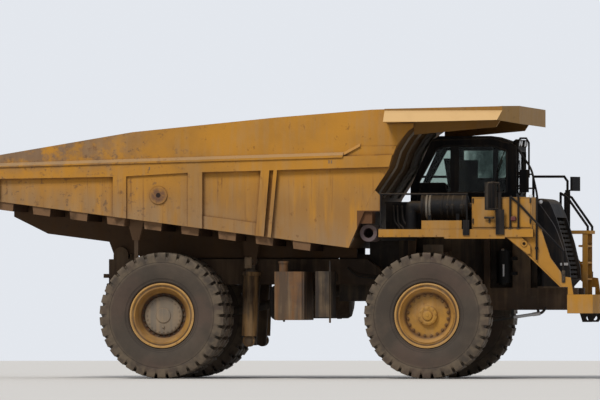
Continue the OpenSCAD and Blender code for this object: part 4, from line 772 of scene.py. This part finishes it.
# Seals round the screen, the right window and the door's window, and the right window's pillar
seals = Shape("cab_seals", "chassis", "cab_plastic")
screen_y = (CAB_RIGHT + 100, CAB_LEFT - 100)
screen = [(screen_y[0], 2775), (screen_y[1], 2775), (screen_y[1], 3405), (screen_y[0], 3405)]
seals.closed_tube([fore(SCREEN_X, y, z) for y, z in screen], 0.012)
right_window = [(-370, 2915), (-95, 3425), (40, 3475), (740, 3475), (960, 3405), (960, 2775), (60, 2775),
                (40, 2915)]
seals.closed_tube([fore(x, CAB_RIGHT - 1, z) for x, z in right_window], 0.013)
seals.block(fore(112, CAB_RIGHT + 2, 2772), fore(236, CAB_RIGHT + 22, 3478), 0.004)
seals.done()
door_seals = Shape("door_seals", "door", "cab_plastic")
door_window = [(150, 2775), (150, 3435), (750, 3435), (880, 3385), (880, 2775)]
door_seals.closed_tube([fore(x, CAB_LEFT + 1, z) for x, z in door_window], 0.012)
door_handle = [(840, CAB_LEFT), (840, CAB_LEFT + 28), (720, CAB_LEFT + 28), (720, CAB_LEFT)]
door_seals.tube([fore(x, y, 2650) for x, y in door_handle], 0.010, 8, 0.015)
door_seals.done()
# Wipers on the screen and on the right window, each with its arm and its blade
trim = Shape("cab_trim", "chassis", "black_paint", HOSE)
for y in (520, 1080):
    pivot = fore(1112, y, 2760)
    trim.tube(steps_from(pivot, (0, 0, 0), (0.03, 0, 0.01), (0.018, -0.18, 0.50)), 0.007, 6, 0.02)
    trim.tube(steps_from(pivot, (0.006, -0.21, 0.24), (0.006, -0.15, 0.62)), 0.006, 6)
    trim.turned(pivot, (1, 0, 0), [(-0.02, 0.022), (0.025, 0.02)], 12)
pivot = fore(700, CAB_RIGHT - 8, 2768)
trim.tube(steps_from(pivot, (0, 0, 0), (0.05, -0.02, 0.03), (0.20, -0.02, 0.50)), 0.008, 6, 0.02)
trim.tube(steps_from(pivot, (0.10, -0.012, 0.30), (0.245, -0.012, 0.66)), 0.007, 6)
# Rail from the roof's front edge down to the hood, with two rungs
rail = [(1060, 3470), (1120, 3440), (1330, 3130), (1410, 2770), (1425, 2640)]
trim.tube([fore(x, 190, z) for x, z in rail], 0.016, 10, 0.08)
for x, z in ((1345, 3050), (1392, 2840)):
    trim.tube(fore_path((1104, 190, z), (x, 190, z)), 0.012, 8)
# Gutter over the right window and a grab rail behind it
gutter = [(-150, 3560), (740, 3590), (1000, 3510)]
trim.tube([fore(x, CAB_RIGHT - 4, z) for x, z in gutter], 0.011, 6, 0.05)
grab_rail = fore_path((-400, CAB_RIGHT - 2, 2600), (-400, CAB_RIGHT - 52, 2600),
                      (-350, CAB_RIGHT - 52, 2830), (-350, CAB_RIGHT - 2, 2830))
trim.tube(grab_rail, 0.011, 8, 0.03)
trim.done()
# Work lamps over the screen, on their brackets
work_lamps = Shape("work_lamps", "chassis", "cab_plastic")
lenses = Shape("work_lamp_lenses", "chassis", "lamp_glass", WHITE_LENS)
for y in (330, 560, 1020, 1250):
    face = fore(1130, y, 3520)
    aim = (1, 0, -0.15)
    work_lamps.turned(face, aim, [(-0.09, 0.02), (-0.06, 0.05), (0.0, 0.058), (0.006, 0.052)], 20)
    work_lamps.tube(steps_from(face, (-0.04, 0, 0), (-0.05, 0, -0.08), (-0.09, 0, -0.10)), 0.01, 8, 0.02)
    lenses.turned(face, aim, [(0.004, 0.049), (0.012, 0.045), (0.018, 0.03)], 20)
work_lamps.done()
lenses.done()
# Inside the cab: boxes from corner to corner, heights over its floor, and how far their edges are cut
CAB_BOXES = (
    # Foot and back of the trainer's seat, which folds down from the right wall
    ((170, 222, 20), (410, 400, 335), 0.02),
    ((60, 214, 330), (520, 232, 990), 0.008),
    # Overhead console, and the arm rest that carries the lever
    ((-40, 210, 1180), (330, 1370, 1255), 0.02),
    ((150, 460, 560), (500, 525, 640), 0.02),
    # Screen on the dash, post at the right wall, panel at the left wall and box behind the seats
    ((880, 330, 520), (925, 560, 700), 0.01),
    ((745, 214, 40), (825, 275, 1255), 0.015),
    ((90, 1300, 60), (870, 1352, 735), 0.02),
    ((-380, 230, 20), (-60, 1330, 480), 0.03),
)
inside = Shape("cab_fittings", "chassis", "cab_plastic", CANVAS)
for (x0, y0, z0), (x1, y1, z1), soft in CAB_BOXES:
    inside.block(fore(x0, y0, CAB_FLOOR + z0), fore(x1, y1, CAB_FLOOR + z1), soft)
inside.tube(fore_path((430, 490, CAB_FLOOR + 630), (450, 490, CAB_FLOOR + 760)), 0.014)
inside.done()


def seat_pad(name, middle, along, across, up):
    """A stuffed pad on half axes: crowned, drawn in between the corners, with two sewn channels."""
    x, y, z = middle
    middle = fore(x, y, CAB_FLOOR + z)
    bm = bmesh.new()
    bmesh.ops.create_cube(bm, size=2)
    bmesh.ops.subdivide_edges(bm, edges=bm.edges, cuts=19, use_grid_fill=True)
    for v in bm.verts:
        core = Vector([max(-0.72, min(0.72, c)) for c in v.co])
        u, w, h = core + (v.co - core).normalized() * 0.28
        crown = max(0, 1 - u * u) * max(0, 1 - w * w)
        seam = math.exp(-((abs(u) - 0.36) / 0.05) ** 2) * max(0, 1 - w ** 6)
        h = h * (1 + 0.45 * crown) - 0.22 * seam if h > 0 else h
        u *= 1 - 0.05 * (1 - w * w)
        w *= 1 - 0.05 * (1 - u * u)
        v.co = middle + Vector(along) * u + Vector(across) * w + Vector(up) * h
    bmesh.ops.recalc_face_normals(bm, faces=bm.faces)
    mesh = bpy.data.meshes.new(name)
    bm.to_mesh(mesh)
    bm.free()
    mesh.materials.append(CANVAS)
    mesh.shade_smooth()
    piece = bpy.data.objects.new(name, mesh)
    bpy.context.scene.collection.objects.link(piece)
    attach(piece, "chassis")


# The driver's back pad leans back by ten degrees
LEAN = Vector((-0.1747, 0, 0.9846)) * 0.25
LEAN_OUT = Vector((0.9846, 0, 0.1747)) * 0.03
seat_pad("driver_seat_pad", (330, 790, 452), (0.19, 0, 0), (0, 0.235, 0), (0, 0, 0.03))
seat_pad("driver_back_pad", (136, 790, 760), LEAN, (0, 0.225, 0), LEAN_OUT)
seat_pad("trainer_seat_pad", (290, 400, 375), (0.22, 0, 0), (0, 0.12, 0), (0, 0, 0.038))
seat_pad("trainer_back_pad", (290, 262, 720), (0, 0, 0.27), (0.225, 0, 0), (0, 0.028, 0))

# Hood: creases down the edges of its slope, grey as painted highlights, and a silver strip on each side
crease_highlights = Shape("hood_creases", "chassis", "black_paint", HOOD_EDGE_HIGHLIGHT)
for s in (1, -1):
    edge = [(1530, 2630), (1590, 2560), (1800, 2260), (1930, 1900)]
    crease_highlights.tube([fore(x, s * 752, z) for x, z in edge], 0.006, 6, 0.1)
crease_highlights.done()
strip = Shape("hood_strip", "chassis", "strut_steel", BRIGHT_STEEL)
for s in (1, -1):
    strip.side_block(s, fore(1870, 748, 1680), fore(1990, 760, 1722), 0.004)
strip.done()

# Under the nose: steel pipe, its sleeve and union, hung from the rail by clips
hung = Shape("nose_pipe", "chassis", "black_paint", HOSE)
start, end = fore(700, -640, 845), fore(1590, -640, 975)
steel_pipe = [fore(560, -560, 1080), fore(600, -640, 850), start, end, fore(1640, -600, 1060)]
hung.tube(steel_pipe, 0.020, 10, 0.06)
hung.tube(fore_path((760, -640, 965), (900, -640, 905), (1100, -640, 930)), 0.009)
CLIP_TOP = 1.035
for share in (0.08, 0.5, 0.93):
    spot = start.lerp(end, share)
    top = Vector((spot.x + 0.02, spot.y + 0.012, CLIP_TOP))
    hung.block(spot + Vector((-0.02, -0.012, 0.0)), top, 0.003)
hung.done()
sleeve = Shape("nose_pipe_sleeve", "chassis", "strut_steel", BRIGHT_STEEL)
a, b = start.lerp(end, 0.52), start.lerp(end, 0.84)
sleeve.turned(a, b - a, [(0, 0.024), ((b - a).length, 0.024)])
sleeve.turned(b, b - a, [(0.0, 0.030), (0.11, 0.030), (0.115, 0.024)], 6)
sleeve.done()

# Chassis: hoses along the rails and under the decks' rear ends
lines = Shape("chassis_hoses", "chassis", "black_paint", HOSE)
for s in (1, -1):
    for k in range(3):
        y = s * (548 + 26 * k)
        run = ((2620, 1650), (2760, 1560 - 20 * k), (3050, 1530 - 20 * k), (3350, 1330 - 25 * k))
        lines.tube([at(x, y, z) for x, z in run], 0.013, 8, 0.08)
    for k in range(2):
        run = ((-735, 1250 + 80 * k, 2082), (-560, 1250 + 80 * k, 2086),
               (-360, 1230 + 80 * k, 2086), (-280, 1100 + 70 * k, 2082))
        lines.tube([fore(x, s * y, z) for x, y, z in run], 0.036, 12, 0.06)
# Suction pipe on the rear of the hydraulic tank, with a flange at each end
PIPE_HIGH, PIPE_LOW = 1.36, 0.90
pipe_y, pipe_x, root_x = tank_high.y - 0.10, tank_low.x - 0.185, tank_low.x + 0.01
run = ((root_x, PIPE_HIGH), (pipe_x, PIPE_HIGH), (pipe_x, PIPE_LOW), (root_x, PIPE_LOW))
lines.tube([Vector((x, pipe_y, z)) for x, z in run], 0.036, 14, 0.09)
flange = [(-0.004, 0.060), (0.014, 0.060), (0.018, 0.054)]
for z in (PIPE_HIGH, PIPE_LOW):
    lines.turned(Vector((tank_low.x, pipe_y, z)), (-1, 0, 0), flange, 20)
lines.done()
# Rear: lamp boxes on rods, and a blank plate between them
TAIL_Z = 1.27
LAMP_Y = 0.47
ROD_END_X = REAR_X - 0.9
tail = Shape("tail_boxes", "chassis", "black_paint", HOSE)
red = Shape("tail_lamps", "chassis", "lamp_glass", RED_LENS)
white = Shape("reverse_lamps", "chassis", "lamp_glass", WHITE_LENS)
for s in (1, -1):
    corner = Vector((TAIL_X, s * LAMP_Y, TAIL_Z))
    tail.block(*steps_from(corner, (0.09, -0.15, 0), (0.17, 0.15, 0.15)), 0.012)
    tail.tube([corner + Vector((0.16, 0, 0.07)), Vector((ROD_END_X, s * LAMP_Y, TAIL_Z + 0.07))], 0.022, 10)
    for k, lens in ((-1, red), (0, red), (1, white)):
        spot = corner + Vector((0.092, k * 0.092, 0.075))
        lens.turned(spot, (-1, 0, 0), [(0, 0.040), (0.012, 0.037), (0.020, 0.022)], 24)
tail.block(Vector((TAIL_X + 0.10, -0.26, TAIL_Z)), Vector((TAIL_X + 0.115, 0.26, TAIL_Z + 0.12)), 0.006)
for y in (-0.2, 0.2):
    tail.tube([Vector((TAIL_X + 0.11, y, TAIL_Z + 0.06)), Vector((ROD_END_X, y, TAIL_Z + 0.06))], 0.012)
tail.done()
red.done()
white.done()
# Joint plates at the braces' feet, with two bolts each
joints = Shape("brace_joints", "chassis", "black_paint", DARK_CAST)
for s in (1, -1):
    joints.side_block(s, fore(2022, 1848, 1425), fore(2072, 1876, 1600), 0.006)
    for z in (1465, 1555):
        joints.bolt(fore(2047, s * 1876, z), (0, s, 0), 0.022)
joints.done()

# Stage: pale floor, sky, a soft sun behind the camera, and the photograph's camera
FLOOR_R = 42
floor_paint = bpy.data.materials.new("floor")
floor_paint.use_nodes = True
floor_shader = floor_paint.node_tree.nodes["Principled BSDF"]
floor_shader.inputs["Base Color"].default_value = (0.60, 0.58, 0.55, 1)
floor_shader.inputs["Roughness"].default_value = 0.9
bm = bmesh.new()
bmesh.ops.create_circle(bm, cap_ends=True, segments=96, radius=FLOOR_R)
floor_mesh = bpy.data.meshes.new("floor")
bm.to_mesh(floor_mesh)
bm.free()
floor_mesh.materials.append(floor_paint)
floor = bpy.data.objects.new("floor", floor_mesh)
bpy.context.scene.collection.objects.link(floor)


def sky_world():
    world = bpy.data.worlds.new("sky")
    world.use_nodes = True
    tree = world.node_tree
    tree.nodes.clear()

    def add(kind, **sockets):
        node = tree.nodes.new("ShaderNode" + kind)
        for key, value in sockets.items():
            if isinstance(value, bpy.types.NodeSocket):
                tree.links.new(value, node.inputs[key])
            else:
                node.inputs[key].default_value = value
        return node

    # Light comes mostly from above, some from the horizon and little from below
    height = add("SeparateXYZ", Vector=add("TexCoord").outputs["Generated"]).outputs["Z"]
    ramp = add("ValToRGB", Fac=add("MapRange", Value=height, **{"From Min": -1.0}).outputs[0])
    ramp.color_ramp.elements[0].color = (0.16, 0.13, 0.10, 1)
    ramp.color_ramp.elements[1].color = (0.95, 0.98, 1.05, 1)
    horizon = ramp.color_ramp.elements.new(0.5)
    horizon.color = (0.55, 0.57, 0.60, 1)
    light = add("Background", Color=ramp.outputs[0], Strength=0.62)
    shown = add("Background", Color=SKY, Strength=1.0)
    path = add("LightPath").outputs
    seen = path["Is Camera Ray"]
    for kind in ("Is Glossy Ray", "Is Transmission Ray"):
        either = add("Math")
        either.operation = "MAXIMUM"
        tree.links.new(seen, either.inputs[0])
        tree.links.new(path[kind], either.inputs[1])
        seen = either.outputs[0]
    blend = add("MixShader", Fac=seen)
    tree.links.new(light.outputs[0], blend.inputs[1])
    tree.links.new(shown.outputs[0], blend.inputs[2])
    tree.links.new(blend.outputs[0], add("OutputWorld").inputs["Surface"])
    return world


bpy.context.scene.world = sky_world()
sun = bpy.data.objects.new("sun", bpy.data.lights.new("sun", "SUN"))
sun.data.energy = 2.3
sun.data.angle = math.radians(18)
sun.data.color = (1.0, 0.97, 0.92)
SUN_FROM = Vector((-0.35, -0.75, 0.95))
sun.rotation_euler = SUN_FROM.to_track_quat("Z", "Y").to_euler()
bpy.context.scene.collection.objects.link(sun)

CAMERA_AT = Vector((21.2, -151.85, 1.2))
CAMERA_TO = Vector((0.138, -1.85, 2.65))
camera = bpy.data.objects.new("camera", bpy.data.cameras.new("camera"))
camera.data.lens = 613.5
camera.data.sensor_width = 36
camera.data.clip_start = 1
camera.data.clip_end = 1000
camera.location = CAMERA_AT
camera.rotation_euler = (CAMERA_TO - CAMERA_AT).to_track_quat("-Z", "Y").to_euler()
bpy.context.scene.collection.objects.link(camera)
bpy.context.scene.camera = camera
bpy.context.scene.view_settings.view_transform = "Standard"
